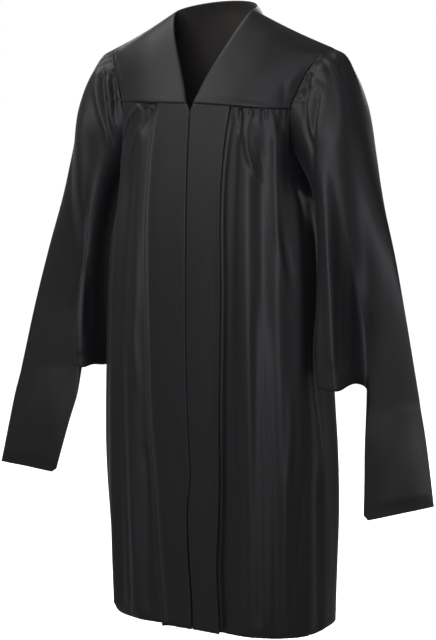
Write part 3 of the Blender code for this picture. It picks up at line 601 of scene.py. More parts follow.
leftFront = {
    "label": "left",
    "side": 1.0,
    "pleatEdge": (            # height, metres from the middle
        (-0.150, 0.092), (-0.210, 0.084), (-0.270, 0.0795), (-0.550, 0.081),
        (-0.755, 0.077), (-1.040, 0.069), (-1.100, 0.065), (-1.255, 0.067),
    ),
    # Routes run down the gown: metres from the middle, and height
    "folds": (
        (((0.128, -0.18), (0.14, -0.6), (0.158, -1.255)), 0.02, 0.022, 0.008, 0.05, 0.01),
        (((0.104, -0.17), (0.106, -0.45), (0.104, -0.9)), 0.009, 0.013, -0.0026, 0.05, 0.5),
        (((0.154, -0.24), (0.166, -0.45), (0.176, -0.78)), 0.013, 0.014, -0.0032, 0.2, 0.5),
        (((0.19, -0.185), (0.205, -0.65), (0.218, -1.255)), 0.018, 0.016, 0.009, 0.04, 0.01),
        (((0.232, -0.27), (0.246, -0.5), (0.254, -0.75), (0.262, -1.1)), 0.028, 0.03, 0.015, 0.12, 0.3),
        (((0.302, -0.84), (0.304, -1.05), (0.306, -1.255)), 0.022, 0.02, -0.012, 0.3, 0.01),
        # the drape from the yoke seam, sweeping toward the underarm, with its pair below
        (((0.137, -0.158), (0.127, -0.195), (0.129, -0.24), (0.145, -0.28), (0.165, -0.312), (0.182, -0.345)),
         0.005, 0.012, 0.0034, 0.06, 0.55),
        (((0.12, -0.19), (0.121, -0.24), (0.138, -0.284), (0.16, -0.32)), 0.0055, 0.006, -0.0022, 0.3, 0.5),
        (((0.15, -0.24), (0.16, -0.268), (0.176, -0.3)), 0.0055, 0.0065, -0.0018, 0.4, 0.55),
        (((0.18, -0.16), (0.184, -0.24), (0.188, -0.32), (0.194, -0.4), (0.208, -0.48), (0.236, -0.6)),
         0.0062, 0.006, 0.0032, 0.05, 0.55),
        (((0.2, -0.33), (0.208, -0.41), (0.224, -0.49), (0.248, -0.62)), 0.0075, 0.01, -0.0026, 0.4, 0.55),
        (((0.158, -0.156), (0.16, -0.18), (0.165, -0.215)), 0.004, 0.0045, -0.0026, 0.03, 0.6),
        (((0.108, -0.156), (0.11, -0.19), (0.114, -0.235)), 0.004, 0.005, -0.003, 0.03, 0.6),
        # long, soft hanging lines
        (((0.156, -0.48), (0.156, -0.79), (0.149, -1.24)), 0.008, 0.008, -0.003, 0.25, 0.05),
        (((0.178, -0.56), (0.184, -0.85), (0.18, -1.24)), 0.0085, 0.0085, 0.0026, 0.25, 0.05),
        (((0.221, -0.64), (0.225, -0.815), (0.215, -0.96), (0.203, -1.24)),
         0.008, 0.0075, 0.0036, 0.3, 0.05),
        (((0.244, -0.65), (0.258, -0.855), (0.246, -1.005), (0.232, -1.24)),
         0.009, 0.009, -0.0044, 0.3, 0.05),
        (((0.118, -0.7), (0.122, -0.95), (0.116, -1.24)), 0.009, 0.009, 0.0022, 0.3, 0.05),
        (((0.288, -0.325), (0.282, -0.55), (0.281, -0.69), (0.307, -0.835), (0.33, -1.0)),
         0.006, 0.007, 0.0034, 0.2, 0.4),
        (((0.284, -0.31), (0.292, -0.48), (0.3, -0.7)), 0.022, 0.022, 0.014, 0.15, 0.4),
    ),
    "edgeStand": 0.0012,
    "edgeFlare": 0.0010,
    "bead": 0.0006,
    "lipBelowZip": 0.0088,    # how much deeper the turned edge is where no zip lies behind it
    "underlap": 0.0080,       # and how far it runs across behind the other front there
    "valley": 0.0026,
    "valleyWidth": 0.008,
    "gathers": 16,
    "seed": 5,
}

rightFront = {
    "label": "right",
    "side": -1.0,
    "pleatEdge": (
        (-0.150, 0.080), (-0.210, 0.088), (-0.310, 0.0955), (-0.640, 0.093),
        (-0.825, 0.091), (-0.905, 0.087), (-1.115, 0.078), (-1.255, 0.068),
    ),
    "folds": (
        (((0.119, -0.185), (0.13, -0.6), (0.142, -1.255)), 0.018, 0.018, 0.006, 0.05, 0.01),
        (((0.152, -0.24), (0.166, -0.5), (0.18, -0.85)), 0.014, 0.015, -0.0045, 0.2, 0.4),
        (((0.186, -0.22), (0.2, -0.65), (0.22, -1.255)), 0.016, 0.018, 0.008, 0.06, 0.01),
        (((0.24, -0.3), (0.252, -0.7), (0.26, -1.1)), 0.026, 0.026, 0.007, 0.2, 0.3),
        # two drapes sweep from the seam round toward the underarm
        (((0.092, -0.152), (0.105, -0.172), (0.124, -0.198), (0.144, -0.226), (0.178, -0.305), (0.2, -0.4)),
         0.0044, 0.0075, 0.0026, 0.06, 0.5),
        (((0.128, -0.154), (0.15, -0.172), (0.182, -0.2), (0.212, -0.25), (0.23, -0.34)),
         0.005, 0.0075, 0.0026, 0.06, 0.5),
        (((0.11, -0.156), (0.128, -0.186), (0.156, -0.23), (0.178, -0.28)),
         0.0065, 0.007, -0.0018, 0.08, 0.6),
        (((0.158, -0.158), (0.186, -0.184), (0.206, -0.22)), 0.0055, 0.006, -0.0016, 0.08, 0.6),
        (((0.122, -0.36), (0.124, -0.56), (0.13, -0.64), (0.116, -0.8)), 0.008, 0.008, 0.0026, 0.3, 0.3),
        (((0.15, -0.6), (0.146, -0.85), (0.14, -1.2)), 0.009, 0.009, 0.0028, 0.3, 0.2),
        (((0.172, -0.64), (0.168, -0.9), (0.16, -1.24)), 0.008, 0.008, -0.003, 0.3, 0.05),
        (((0.115, -0.85), (0.108, -0.96), (0.112, -1.24)), 0.008, 0.008, -0.0028, 0.3, 0.05),
        (((0.19, -0.8), (0.186, -1.0), (0.19, -1.24)), 0.011, 0.011, -0.0034, 0.3, 0.05),
    ),
    "edgeStand": 0.0012,
    "edgeFlare": 0.0045,
    "bead": 0.0034,
    "lipBelowZip": 0.0060,
    "underlap": 0.0,
    "valley": 0.0060,
    "valleyWidth": 0.0055,
    "gathers": 13,
    "seed": 11,
}


def centreColumns():  # shares of the centre edge and of the pleat's edge, a fixed part, and the offset
    size = frontPanel
    turn, lip, underlay = size["pleatTurn"], size["lipRadius"], size["pleatUnderlay"]
    quarterTurn, halfTurn = np.linspace(math.pi / 2, 0, 6), np.linspace(0.0, math.pi, 9)[1:]
    columns = [(1.0, 0.0, 0.0, -size["lipDepth"]), (1.0, 0.0, 0.0, -(size["lipDepth"] + lip) / 2)]
    for a in quarterTurn:
        columns.append((1.0, 0.0, lip * (1 - math.sin(a)), -lip * (1 - math.cos(a))))
    for k in 1.0 - np.linspace(1.0, 0.0, size["centreColumns"])[1:] ** size["centreCrowding"]:
        columns.append((1.0 - k, k, lip * (1 - k) - turn * k, 0.0))
    for a in halfTurn:
        columns.append((0.0, 1.0, -turn + turn * math.sin(a), -turn * (1 - math.cos(a))))
    for k in np.linspace(0.0, 1.0, 6)[1:]:
        columns.append((0.0, 1.0, -turn * (1 - k) + (turn - underlay) * k, -2 * turn))
    for a in halfTurn:
        columns.append((0.0, 1.0, turn - underlay - turn * math.sin(a), -2 * turn - turn * (1 - math.cos(a))))
    return np.array(columns)


def frontCentre(panel, down):  # from the turned centre edge to the pleat's inner turn
    side, size = panel["side"], frontPanel
    fromStart, fromEdge, fixed, offset = centreColumns().T
    height = np.repeat(gown["seamCentre"] + (gown["hem"] - gown["seamCentre"]) * down, len(fixed), axis=1)
    for _ in range(3):  # the seam's height and the place along it settle together
        edge = readRows(panel["pleatEdge"], height)[..., 0]
        openness = np.clip((height - gown["vHeight"]) / (gown["seamCentre"] - gown["vHeight"]), 0.0, 1.0)
        start = gown["centreGap"] + (gown["vHalfAtSeam"] - gown["centreGap"]) * openness
        start = start + size["openBelowZip"] * smoothStep((size["openFrom"] - height) / size["openOver"])
        metres = fromStart * start + fromEdge * edge + fixed
        length = quarterLength(height)
        top = seamHeight(metres / length / gown["shareAtArmhole"], side)
        height = top + (gown["hem"] - top) * down
    belowZip = smoothStep((size["zipFoot"] - height) / 0.05)
    inward = offset[None, :] - panel["lipBelowZip"] * belowZip * (np.arange(len(fixed)) < 2)
    points, away = bodyPoints(metres / length, height, inward, side)
    points[:, 0, 0] -= side * panel["underlap"] * belowZip[:, 0]

    fromPleat = metres - readRows(panel["pleatEdge"], height)[..., 0]
    flare = smoothStep((size["flareFrom"] - height) / size["flareOver"])
    stand = panel["edgeStand"] + panel["edgeFlare"] * flare
    lift = stand * hump(fromPleat, size["edgeWidth"]) + panel["bead"] * hump(fromPleat, size["beadWidth"])
    lift *= smoothStep((size["standFrom"] - height) / 0.03)
    return points, away, np.stack([metres, height], axis=-1), lift


def frontHanging(panel, down):  # from the pleat's inner turn to the side seam
    side, size, atArmhole = panel["side"], frontPanel, gown["shareAtArmhole"]
    part, turn = size["armholeFrom"], size["pleatTurn"]
    share = np.concatenate([np.linspace(0.0, part, size["gatheredColumns"])[1:],
                            np.linspace(part, 1.0, size["armholeColumns"])[1:]])
    edgeTop = panel["pleatEdge"][0][1]
    seamShare = (edgeTop - size["pleatUnderlay"]) / quarterLength(gown["seamCentre"])
    topShare = seamShare + (atArmhole - seamShare) * share / part
    topPoint = frontSeam(np.clip(topShare / atArmhole, 0.0, 1.0), side)
    onArmhole = share > part
    place = seamPlace + (lastPlace - seamPlace) * (share[onArmhole] - part) / (1.0 - part)
    topPoint[onArmhole] = armholeFrontPoint(place, side)
    reachForward = np.abs(topPoint[onArmhole, 1] / gown["armholeFront"][seamPlace][1])
    topShare[onArmhole] = 1.0 - (1.0 - atArmhole) * reachForward

    top = topPoint[None, :, 2]
    height = top + (gown["hem"] - top) * down
    length = quarterLength(height)
    edge = readRows(panel["pleatEdge"], height)[..., 0]
    foldShare = (edge - size["pleatUnderlay"] + turn) / length
    hangShare = foldShare + (1.0 - foldShare) * share[None, :]
    here = topShare[None, :] + (hangShare - topShare[None, :]) * smoothStep(down / size["settle"])
    metres = here * length
    recovered = smoothStep((metres - edge) / size["recovery"])
    points, away = bodyPoints(here, height, -4.0 * turn * (1.0 - recovered), side)
    hung, _ = bodyPoints(topShare, topPoint[:, 2], 0.0, side)
    pull = (1.0 - smoothStep(down / size["pull"])) * smoothStep(share * 4)[None, :]
    points = points + (topPoint - hung)[None] * pull[..., None]

    measures = np.stack([metres, height], axis=-1)
    start = gown["seamCentre"] - size["gathersBelow"]
    first, last = edgeTop + size["gathersFrom"], size["gathersTo"]
    gathers = gatherRoutes(seamGathers, panel["seed"], first, last, start, panel["gathers"])
    lift = foldLift(list(panel["folds"]) + gathers, measures, points, away, size["foldSpacing"])
    lift *= (1.0 - share ** 8)[None, :] * smoothStep((metres - edge + 0.03) / 0.03)
    valley = panel["valley"] * hump(metres - edge - size["valleyBeyond"], panel["valleyWidth"])
    lift -= valley * smoothStep((top - height) / 0.05)
    return points, away, measures, lift


def frontSheet(panel):
    size, seed = frontPanel, panel["seed"]
    down = (np.linspace(0.0, 1.0, size["rows"]) ** size["rowCrowding"])[:, None]
    parts = (frontCentre(panel, down), frontHanging(panel, down))
    points, away, measures, lift = (np.concatenate(pair, axis=1) for pair in zip(*parts))
    metres, height = measures[..., 0], measures[..., 1]
    seamTop = parts[1][2][0, :, 1].max()
    lift += ripples(points, size["ripples"], seed) * smoothStep((seamTop - height) / 0.10)
    hemRoll = softWaves(points, *size["hemRoll"], seed + 3)
    lift += hemRoll * smoothStep((height - gown["hem"] - size["hemDepth"]) / -0.012)
    points = points + away * lift[..., None]

    # The centre line wanders a little from side to side, and the pleat with it
    nearCentre = 1.0 - smoothStep((metres - 0.01) / 0.07)
    points[..., 0] += readRows(size["slit"], height)[..., 0] * nearCentre
    return points


def makeFront(panel):
    points, label = frontSheet(panel), panel["label"]
    flip = panel["side"] < 0
    piece = gridPiece(f"gownFront.{label}", points, frontPanel["wall"], gownCloth, flip, f"front_{label}")
    return piece, points


frontPieces, frontPoints = {}, {}
for panel in (leftFront, rightFront):
    frontPieces[panel["label"]], frontPoints[panel["label"]] = makeFront(panel)
frontCentreColumns = 7 + frontPanel["centreColumns"]     # where the pleat's edge begins to turn
frontColumns = len(centreColumns())
print("fronts made")


# Back

backPanel = {
    "wall": 0.0007,
    "rows": 140,
    "rowCrowding": 1.2,
    "seamColumns": 190,
    "armholeColumns": 26,
    "settle": 0.35,
    "pull": 0.16,
    "seed": 23,
    "gathers": 30,
    "gathersBelow": 0.001,
    "gathersTo": 0.97,        # share of the seam
    "foldSpacing": (0.004, 0.012),
    "ripples": (((0.05, 0.25), 0.0020), ((0.018, 0.10), 0.0006)),
    "rippleSeed": 31,
    # Flutes: share of the half back on the left and on the right, width, rise, height where it ends
    "flutes": (
        (0.10, 0.085, 0.016, 0.012, -1.300),
        (0.24, 0.255, 0.014, 0.009, -1.000),
        (0.38, 0.365, 0.017, 0.012, -1.300),
        (0.53, 0.545, 0.014, 0.010, -1.150),
        (0.68, 0.665, 0.018, 0.012, -1.300),
        (0.84, 0.855, 0.016, 0.008, -1.250),
    ),
}


def makeBack():
    size = backPanel
    down = (np.linspace(0.0, 1.0, size["rows"]) ** size["rowCrowding"])[:, None]
    atArmhole = gown["shareAtArmhole"]
    sideShare = np.linspace(1.0, atArmhole, size["armholeColumns"])[:-1]
    seamShare = np.linspace(atArmhole, -atArmhole, size["seamColumns"])
    shares = np.concatenate([sideShare, seamShare, -sideShare[::-1]])
    reach, side = np.abs(shares), np.where(shares >= 0, 1.0, -1.0)
    topPoint = np.zeros((len(shares), 3))
    topShare = reach.copy()
    for number, share in enumerate(reach):
        if share <= atArmhole:
            topPoint[number] = backSeam(share / atArmhole, side[number])
        else:
            place = seamPlace + (lastPlace - seamPlace) * (share - atArmhole) / (1.0 - atArmhole)
            topPoint[number] = armholePoint(gown["armholeBack"], place, side[number])
            reachBack = abs(topPoint[number, 1] / gown["armholeBack"][seamPlace][1])
            topShare[number] = 1.0 - (1.0 - atArmhole) * reachBack
    top = topPoint[None, :, 2]
    height = top + (gown["hem"] - top) * down
    here = topShare + (reach - topShare)[None, :] * smoothStep(down / size["settle"])
    length = quarterLength(height, True)
    fallen = (top - height) / (top - gown["hem"])
    lift = np.zeros(height.shape)
    for leftPlace, rightPlace, width, rise, ends in size["flutes"]:
        place = np.where(side > 0, leftPlace, rightPlace)[None, :]
        spread = width * (1.0 + 0.8 * fallen)
        fade = smoothStep(fallen / 0.05) * smoothStep((height - ends) / 0.3)
        distance = (reach[None, :] - place) * length
        lift += rise * (0.55 + 0.45 * fallen) * fade * hump(distance, spread)
    lift *= (1.0 - reach ** 10)[None, :]
    points, away = bodyPoints(here, height, lift, 1.0, back=True)
    shift = readRows(gown["rings"], height)[..., 0]
    points[..., 0] = side[None, :] * (points[..., 0] - shift) + shift
    away[..., 0] *= side[None, :]
    hung, _ = bodyPoints(topShare, topPoint[:, 2], 0.0, 1.0, back=True)
    hung[:, 0] *= side
    pull = 1.0 - smoothStep(down / size["pull"])
    points = points + (topPoint - hung)[None] * pull[..., None]
    metres = shares[None, :] * length
    measures = np.stack([metres, height], axis=-1)
    width = size["gathersTo"] * atArmhole * quarterLength(gown["backSeamCentre"], True)
    start = gown["backSeamCentre"] - size["gathersBelow"]
    gathers = gatherRoutes(seamGathers, size["seed"], -width, width, start, size["gathers"])
    small = foldLift(gathers, measures, points, away, size["foldSpacing"])
    small += ripples(points, size["ripples"], size["rippleSeed"]) * smoothStep((top - height) / 0.08)
    points = points + away * small[..., None]
    return gridPiece("gownBack", points, size["wall"], gownCloth, False, "back"), points


backPiece, backPoints = makeBack()
print("back made")


# Yokes

yokePanel = {
    "wall": 0.0011,
    "rows": 64,
    "columns": 56,
    "roll": 0.0012,           # the neck edge rolls under by this, and the cloth stands proud above the seam
    "backWall": 0.0009,
    "liningIn": 0.0016,       # the lining lies this far inside the back yoke
    "waveSize": (0.07, 0.07),
    "frontWave": 0.0009,
    "backWave": 0.0010,
    "frontSeed": 41,
    "backSeed": 51,
    "folds": {
        # Routes in shares of the panel: across from the neck, and down from the shoulder
        "left": (
            (((0.8, 0.62), (0.88, 0.8), (0.93, 0.98)), 0.008, 0.007, -0.0016, 0.4, 0.3),
            (((0.92, 0.45), (0.9, 0.62), (0.86, 0.8)), 0.007, 0.007, 0.0014, 0.4, 0.5),
            (((0.99, 0.2), (0.93, 0.34), (0.87, 0.46)), 0.008, 0.006, -0.0014, 0.2, 0.6),
            (((0.3, 0.1), (0.45, 0.5), (0.55, 0.9)), 0.03, 0.03, 0.0016, 0.4, 0.4),
        ),
        "right": (
            (((0.99, 0.15), (0.9, 0.4), (0.86, 0.7), (0.9, 0.97)), 0.009, 0.008, -0.0022, 0.1, 0.3),
            (((0.99, 0.45), (0.93, 0.62), (0.9, 0.8)), 0.007, 0.007, 0.0016, 0.2, 0.5),
            (((0.3, 0.1), (0.42, 0.5), (0.5, 0.9)), 0.03, 0.03, 0.0016, 0.4, 0.4),
        ),
    },
}


def seamRidge(down):  # the yoke stands a little proud just above its seam, and drops back at the edge
    atEdge = smoothStep((down - 0.985) / 0.015)
    return yokePanel["roll"] * smoothStep((down - 0.93) / 0.04) * (1.0 - 0.6 * atEdge)


def makeFrontYoke(label, side):
    size = yokePanel
    out = np.linspace(0.0, 1.0, size["columns"])
    down = np.linspace(0.0, 1.0, size["rows"])
    points = drapedPanel(shoulderSeam(out, side), frontSeam(out, side),
                         neckEdge(1.0 - np.cos(down * math.pi / 2), side),
                         armholeFrontPoint(down * seamPlace, side))
    away = surfaceNormals(points) * side
    measures = np.stack(np.meshgrid(out, down), axis=-1)
    lift = foldLift(size["folds"][label], measures, points, away, (0.02, 0.02))
    lift += softWaves(points, size["waveSize"], size["frontWave"], size["frontSeed"] + side)
    lift *= smoothStep(down / 0.1)[:, None] * smoothStep((1.0 - down) / 0.08)[:, None]
    lift -= size["roll"] * (1.0 - smoothStep(out / 0.035))[None, :]
    lift += seamRidge(down)[:, None]
    points = points + away * lift[..., None]
    piece = gridPiece(f"gownYoke.{label}", points, size["wall"], gownCloth, side < 0, f"yoke_front_{label}")
    return piece, points


def backYokeGrid():
    shoulderSteps, neckSteps, rows = 40, 60, yokePanel["rows"]
    width = np.linspace(1.0, 0.0, shoulderSteps)
    neck = backNeck(np.linspace(-1.0, 1.0, neckSteps + 1))
    top = np.concatenate([shoulderSeam(width, 1.0), neck[1:-1], shoulderSeam(width[::-1], -1.0)])
    along = np.linspace(-1.0, 1.0, len(top))
    bottom = np.array([backSeam(abs(a), 1.0 if a <= 0 else -1.0) for a in along])
    down = np.linspace(0.0, 1.0, rows)
    return drapedPanel(top, bottom, armholePoint(gown["armholeBack"], down * seamPlace, 1.0),
                       armholePoint(gown["armholeBack"], down * seamPlace, -1.0))


def makeBackYoke():
    points = backYokeGrid()
    away = surfaceNormals(points)
    away *= np.sign(away[len(away) // 2, away.shape[1] // 2, 1])
    down = np.linspace(0.0, 1.0, len(points))[:, None]
    inner = smoothStep(down / 0.1) * smoothStep((1.0 - down) / 0.08)
    lift = softWaves(points, yokePanel["waveSize"], yokePanel["backWave"], yokePanel["backSeed"]) * inner
    lift = lift + seamRidge(down)
    outer = points + away * lift[..., None]
    lining = points - away * yokePanel["liningIn"]
    wall = yokePanel["backWall"]
    yoke = gridPiece("gownYoke.back", outer, wall, gownCloth, False, "yoke_back")
    inside = gridPiece("gownYokeLining", lining, wall, liningCloth, False, "yoke_back_lining")
    return yoke, inside, outer


yokePieces, yokePoints = {}, {}
for label, side in (("left", 1.0), ("right", -1.0)):
    yokePieces[label], yokePoints[label] = makeFrontYoke(label, side)
backYokePiece, liningPiece, backYokePoints = makeBackYoke()
print("yokes made")


# Sleeves

sleeveForm = {
    "wall": 0.0007,
    "around": 224,            # columns round the sleeve
    "down": 140,              # rows from the armhole to the wrist
    "rowCrowding": 1.15,      # closer together near the armhole
    "girthRow": 60,           # the row whose girth measures the cloth
    "tailRows": 66,
    "tailRowHeight": 0.0042,
    "gathers": 22,
    "gathersFrom": 0.56,      # in half turns, like the folds' routes
    "gathersTo": 1.46,
    "foldSpacing": (0.012, 0.010),
    "ripples": (((0.055, 0.40), 0.0012), ((0.020, 0.16), 0.0004)),
    "tailWave": ((0.06, 0.22), 0.0045),
    "settle": 0.28,           # the armhole's shape has died away here
    "sideFlatness": 0.55,
    "bagPeak": 0.13,
    "tailTop": -0.752,
    "tailDepth": -0.070,
    "tailHalfDepth": 0.006,
    "cornerCut": 0.010,
    # along, inner across, inner height, pull of the middle, outer across, outer height,
    # inner depth, outer depth, half depth, flatness
    "rows": (
        (0.00, 0.216, -0.300, 0.000, 0.258, -0.036, 0.000, 0.000, 0.070, 0.00),
        (0.06, 0.225, -0.314, 0.000, 0.287, -0.050, 0.000, 0.000, 0.078, 0.00),
        (0.14, 0.236, -0.333, 0.000, 0.310, -0.085, 0.000, 0.000, 0.084, 0.00),
        (0.25, 0.246, -0.370, 0.000, 0.330, -0.142, -0.003, 0.000, 0.087, 0.05),
        (0.40, 0.256, -0.432, 0.000, 0.353, -0.242, -0.008, -0.004, 0.088, 0.22),
        (0.55, 0.261, -0.500, -0.003, 0.381, -0.348, -0.014, -0.013, 0.086, 0.50),
        (0.70, 0.264, -0.570, -0.006, 0.413, -0.454, -0.020, -0.024, 0.082, 0.80),
        (0.85, 0.264, -0.645, -0.008, 0.446, -0.583, -0.026, -0.037, 0.079, 1.00),
        (1.00, 0.262, -0.704, -0.010, 0.480, -0.734, -0.030, -0.048, 0.076, 1.00),
    ),
}

leftSleeve = {
    "label": "left",
    "side": 1.0,
    "bag": (0.33, 0.53),      # shares of the width where the bag starts to fall back, and where it is flat
    "split": 0.50,            # share of the width where the tail begins
    "wristDrop": (            # share of the width, drop of the wrist edge below the sleeve's straight end
        (0.000, 0.000), (0.050, -0.002), (0.100, 0.0075), (0.190, 0.0107), (0.325, 0.0071), (0.380, 0.0040),
        (0.415, -0.0036), (0.445, -0.0074), (0.478, -0.0030), (0.500, 0.0050), (0.550, 0.0130),
        (0.750, 0.0120), (1.000, 0.000),
    ),
    # tail: inner edge at its top and foot, outer edge at its top and foot, heights of the foot's ends
    "tail": (0.362, 0.371, 0.485, 0.524, -0.990, -0.944),
    # Routes: turn (0 inner line, 0.5 front middle, 1 outer line, 1.5 back middle), and along the sleeve
    "folds": (
        (((0.76, 0.0), (0.65, 0.04), (0.49, 0.11), (0.41, 0.175), (0.25, 0.23)),
         0.008, 0.0057, -0.0058, 0.08, 0.4),
        (((0.68, 0.02), (0.6, 0.07), (0.5, 0.13), (0.44, 0.19)), 0.0057, 0.008, 0.0029, 0.1, 0.5),
        (((0.7, 0.09), (0.6, 0.12), (0.49, 0.155), (0.41, 0.2)), 0.0063, 0.0046, -0.0049, 0.12, 0.5),
        (((0.81, 0.02), (0.78, 0.14), (0.68, 0.27), (0.6, 0.4)), 0.01, 0.011, 0.0016, 0.08, 0.6),
        (((0.86, 0.01), (0.83, 0.06), (0.74, 0.16), (0.66, 0.24)), 0.0052, 0.0057, -0.0026, 0.06, 0.6),
        (((0.99, 0.02), (0.91, 0.07), (0.9, 0.13)), 0.0034, 0.0046, 0.002, 0.05, 0.6),
        (((0.93, 0.0), (0.9, 0.09), (0.84, 0.2)), 0.0057, 0.0052, -0.0023, 0.05, 0.6),
        (((0.82, 0.16), (0.75, 0.305), (0.7, 0.42), (0.66, 0.56), (0.6, 0.72), (0.56, 0.9)),
         0.021, 0.019, -0.0056, 0.45, 0.3),
        (((0.66, 0.24), (0.58, 0.42), (0.52, 0.56), (0.48, 0.74), (0.46, 0.88), (0.45, 0.985)),
         0.0105, 0.0115, 0.0022, 0.4, 0.06),
        (((0.48, 0.3), (0.42, 0.5), (0.38, 0.7), (0.37, 0.93)), 0.011, 0.0103, 0.002, 0.35, 0.05),
        (((0.52, 0.4), (0.46, 0.6), (0.425, 0.78), (0.415, 0.97)), 0.0069, 0.0069, -0.0016, 0.4, 0.1),
        (((0.93, 0.28), (0.9, 0.42), (0.87, 0.56), (0.84, 0.72)), 0.016, 0.018, 0.0016, 0.4, 0.5),
        (((1.62, 0.02), (1.6, 0.2), (1.56, 0.45), (1.54, 0.75)), 0.0184, 0.0161, 0.0046, 0.1, 0.4),
        (((1.36, 0.02), (1.42, 0.2), (1.46, 0.5), (1.46, 0.92)), 0.0161, 0.0161, -0.0058, 0.1, 0.1),
        (((1.22, 0.03), (1.28, 0.2), (1.34, 0.45)), 0.0149, 0.0149, 0.0041, 0.1, 0.5),
        (((1.1, 0.02), (1.14, 0.16), (1.2, 0.34)), 0.0115, 0.0115, -0.0041, 0.08, 0.6),
    ),
    "seed": 61,
}

rightSleeve = {
    "label": "right",
    "side": -1.0,
    "bag": (0.17, 0.37),
    "split": 0.33,
    "wristDrop": (
        (0.000, 0.0190), (0.024, 0.0132), (0.087, 0.0144), (0.172, 0.0080), (0.230, 0.0040), (0.330, 0.0060),
        (0.450, 0.0080), (0.700, 0.0060), (1.000, 0.000),
    ),
    "tail": (0.322, 0.380, 0.487, 0.528, -0.973, -0.963),
    "folds": (
        (((0.78, 0.005), (0.72, 0.02), (0.6, 0.03), (0.5, 0.04), (0.4, 0.06)),
         0.0069, 0.0057, -0.0064, 0.1, 0.4),
        (((0.74, 0.04), (0.64, 0.045), (0.54, 0.055), (0.42, 0.075), (0.34, 0.1)),
         0.0069, 0.008, 0.0046, 0.15, 0.4),
        (((0.84, 0.04), (0.7, 0.068), (0.56, 0.078), (0.4, 0.085), (0.3, 0.1)),
         0.0063, 0.0057, -0.0058, 0.2, 0.4),
        (((0.92, 0.06), (0.76, 0.1), (0.62, 0.105), (0.44, 0.105), (0.3, 0.13)),
         0.0069, 0.0115, 0.0046, 0.2, 0.4),
        (((0.9, 0.01), (0.88, 0.05), (0.82, 0.085)), 0.0052, 0.0052, -0.0035, 0.06, 0.6),
        (((0.8, 0.12), (0.62, 0.22), (0.5, 0.34), (0.42, 0.52), (0.3, 0.75), (0.26, 0.97)),
         0.015, 0.0184, 0.0036, 0.3, 0.04),
        (((0.62, 0.14), (0.44, 0.24), (0.36, 0.4), (0.2, 0.62), (0.14, 0.92)),
         0.015, 0.017, -0.004, 0.25, 0.1),
        (((0.86, 0.26), (0.72, 0.45), (0.58, 0.62), (0.48, 0.84)), 0.02, 0.019, -0.006, 0.35, 0.4),
        (((1.62, 0.02), (1.6, 0.2), (1.57, 0.45), (1.55, 0.8)), 0.0172, 0.0161, 0.0046, 0.1, 0.4),
        (((1.38, 0.02), (1.43, 0.2), (1.46, 0.5), (1.47, 0.92)), 0.0161, 0.0161, -0.0055, 0.1, 0.1),
        (((1.2, 0.03), (1.27, 0.2), (1.33, 0.45)), 0.0149, 0.0149, 0.0041, 0.1, 0.5),
        (((1.09, 0.02), (1.13, 0.16), (1.18, 0.34)), 0.0115, 0.0115, -0.0041, 0.08, 0.6),
    ),
    "seed": 67,
}


def sleeveTurns(panel, turn, along):  # the columns lean inward down the sleeve, to meet the tail's inner edge
    lean = math.pi / 2 - math.acos(1.0 - 2.0 * panel["split"])
    return turn - lean * smoothStep(along / 0.8) * np.sign(np.sin(turn)) * np.sin(turn) ** 2


def sleeveSection(panel, turn, along):  # turn 0 is the underarm line and pi the outer line, front first
    size = sleeveForm
    bagHolds, bagEnd = panel["bag"]
    row = readRows(size["rows"], along)
    inX, inZ, midPull, outX, outZ, inY, outY, halfDepth, flat = np.moveaxis(row, -1, 0)
    u = (1.0 - np.cos(turn)) / 2.0
    x = inX + (outX - inX) * u + 4.0 * midPull * u * (1.0 - u)
    z = inZ + (outZ - inZ) * u
    rounding = np.where(u < 0.5, 1.0 + (size["sideFlatness"] - 1.0) * smoothStep(along / 0.3), 1.0)
    roundPart = halfDepth * np.abs(np.sin(turn)) ** rounding
    swell = np.sqrt(np.clip(1.0 - (1.0 - np.clip(u / size["bagPeak"], 0.0, 1.0)) ** 2, 0.0, 1.0))
    die = 1.0 - smoothStep((u - bagHolds) / (bagEnd - bagHolds))
    bagPart = halfDepth * swell * die + size["tailHalfDepth"] * np.abs(np.sin(turn))
    depth = roundPart + (bagPart - roundPart) * flat
    closing = hump(u - panel["split"], 0.025) * smoothStep((along - 0.93) / 0.07)
    depth = depth * (1.0 - 0.85 * closing)
    y = inY + (outY - inY) * u - np.sign(np.sin(turn)) * depth
    return np.stack([x, y, z], axis=-1)


def armholeRing(turn):
    front = turn <= math.pi
    points = np.zeros((len(turn), 3))
    points[front] = armholeFrontPoint(lastPlace * (1.0 - turn[front] / math.pi), 1.0)
    points[~front] = armholePoint(gown["armholeBack"], lastPlace * (turn[~front] / math.pi - 1.0), 1.0)
    return points


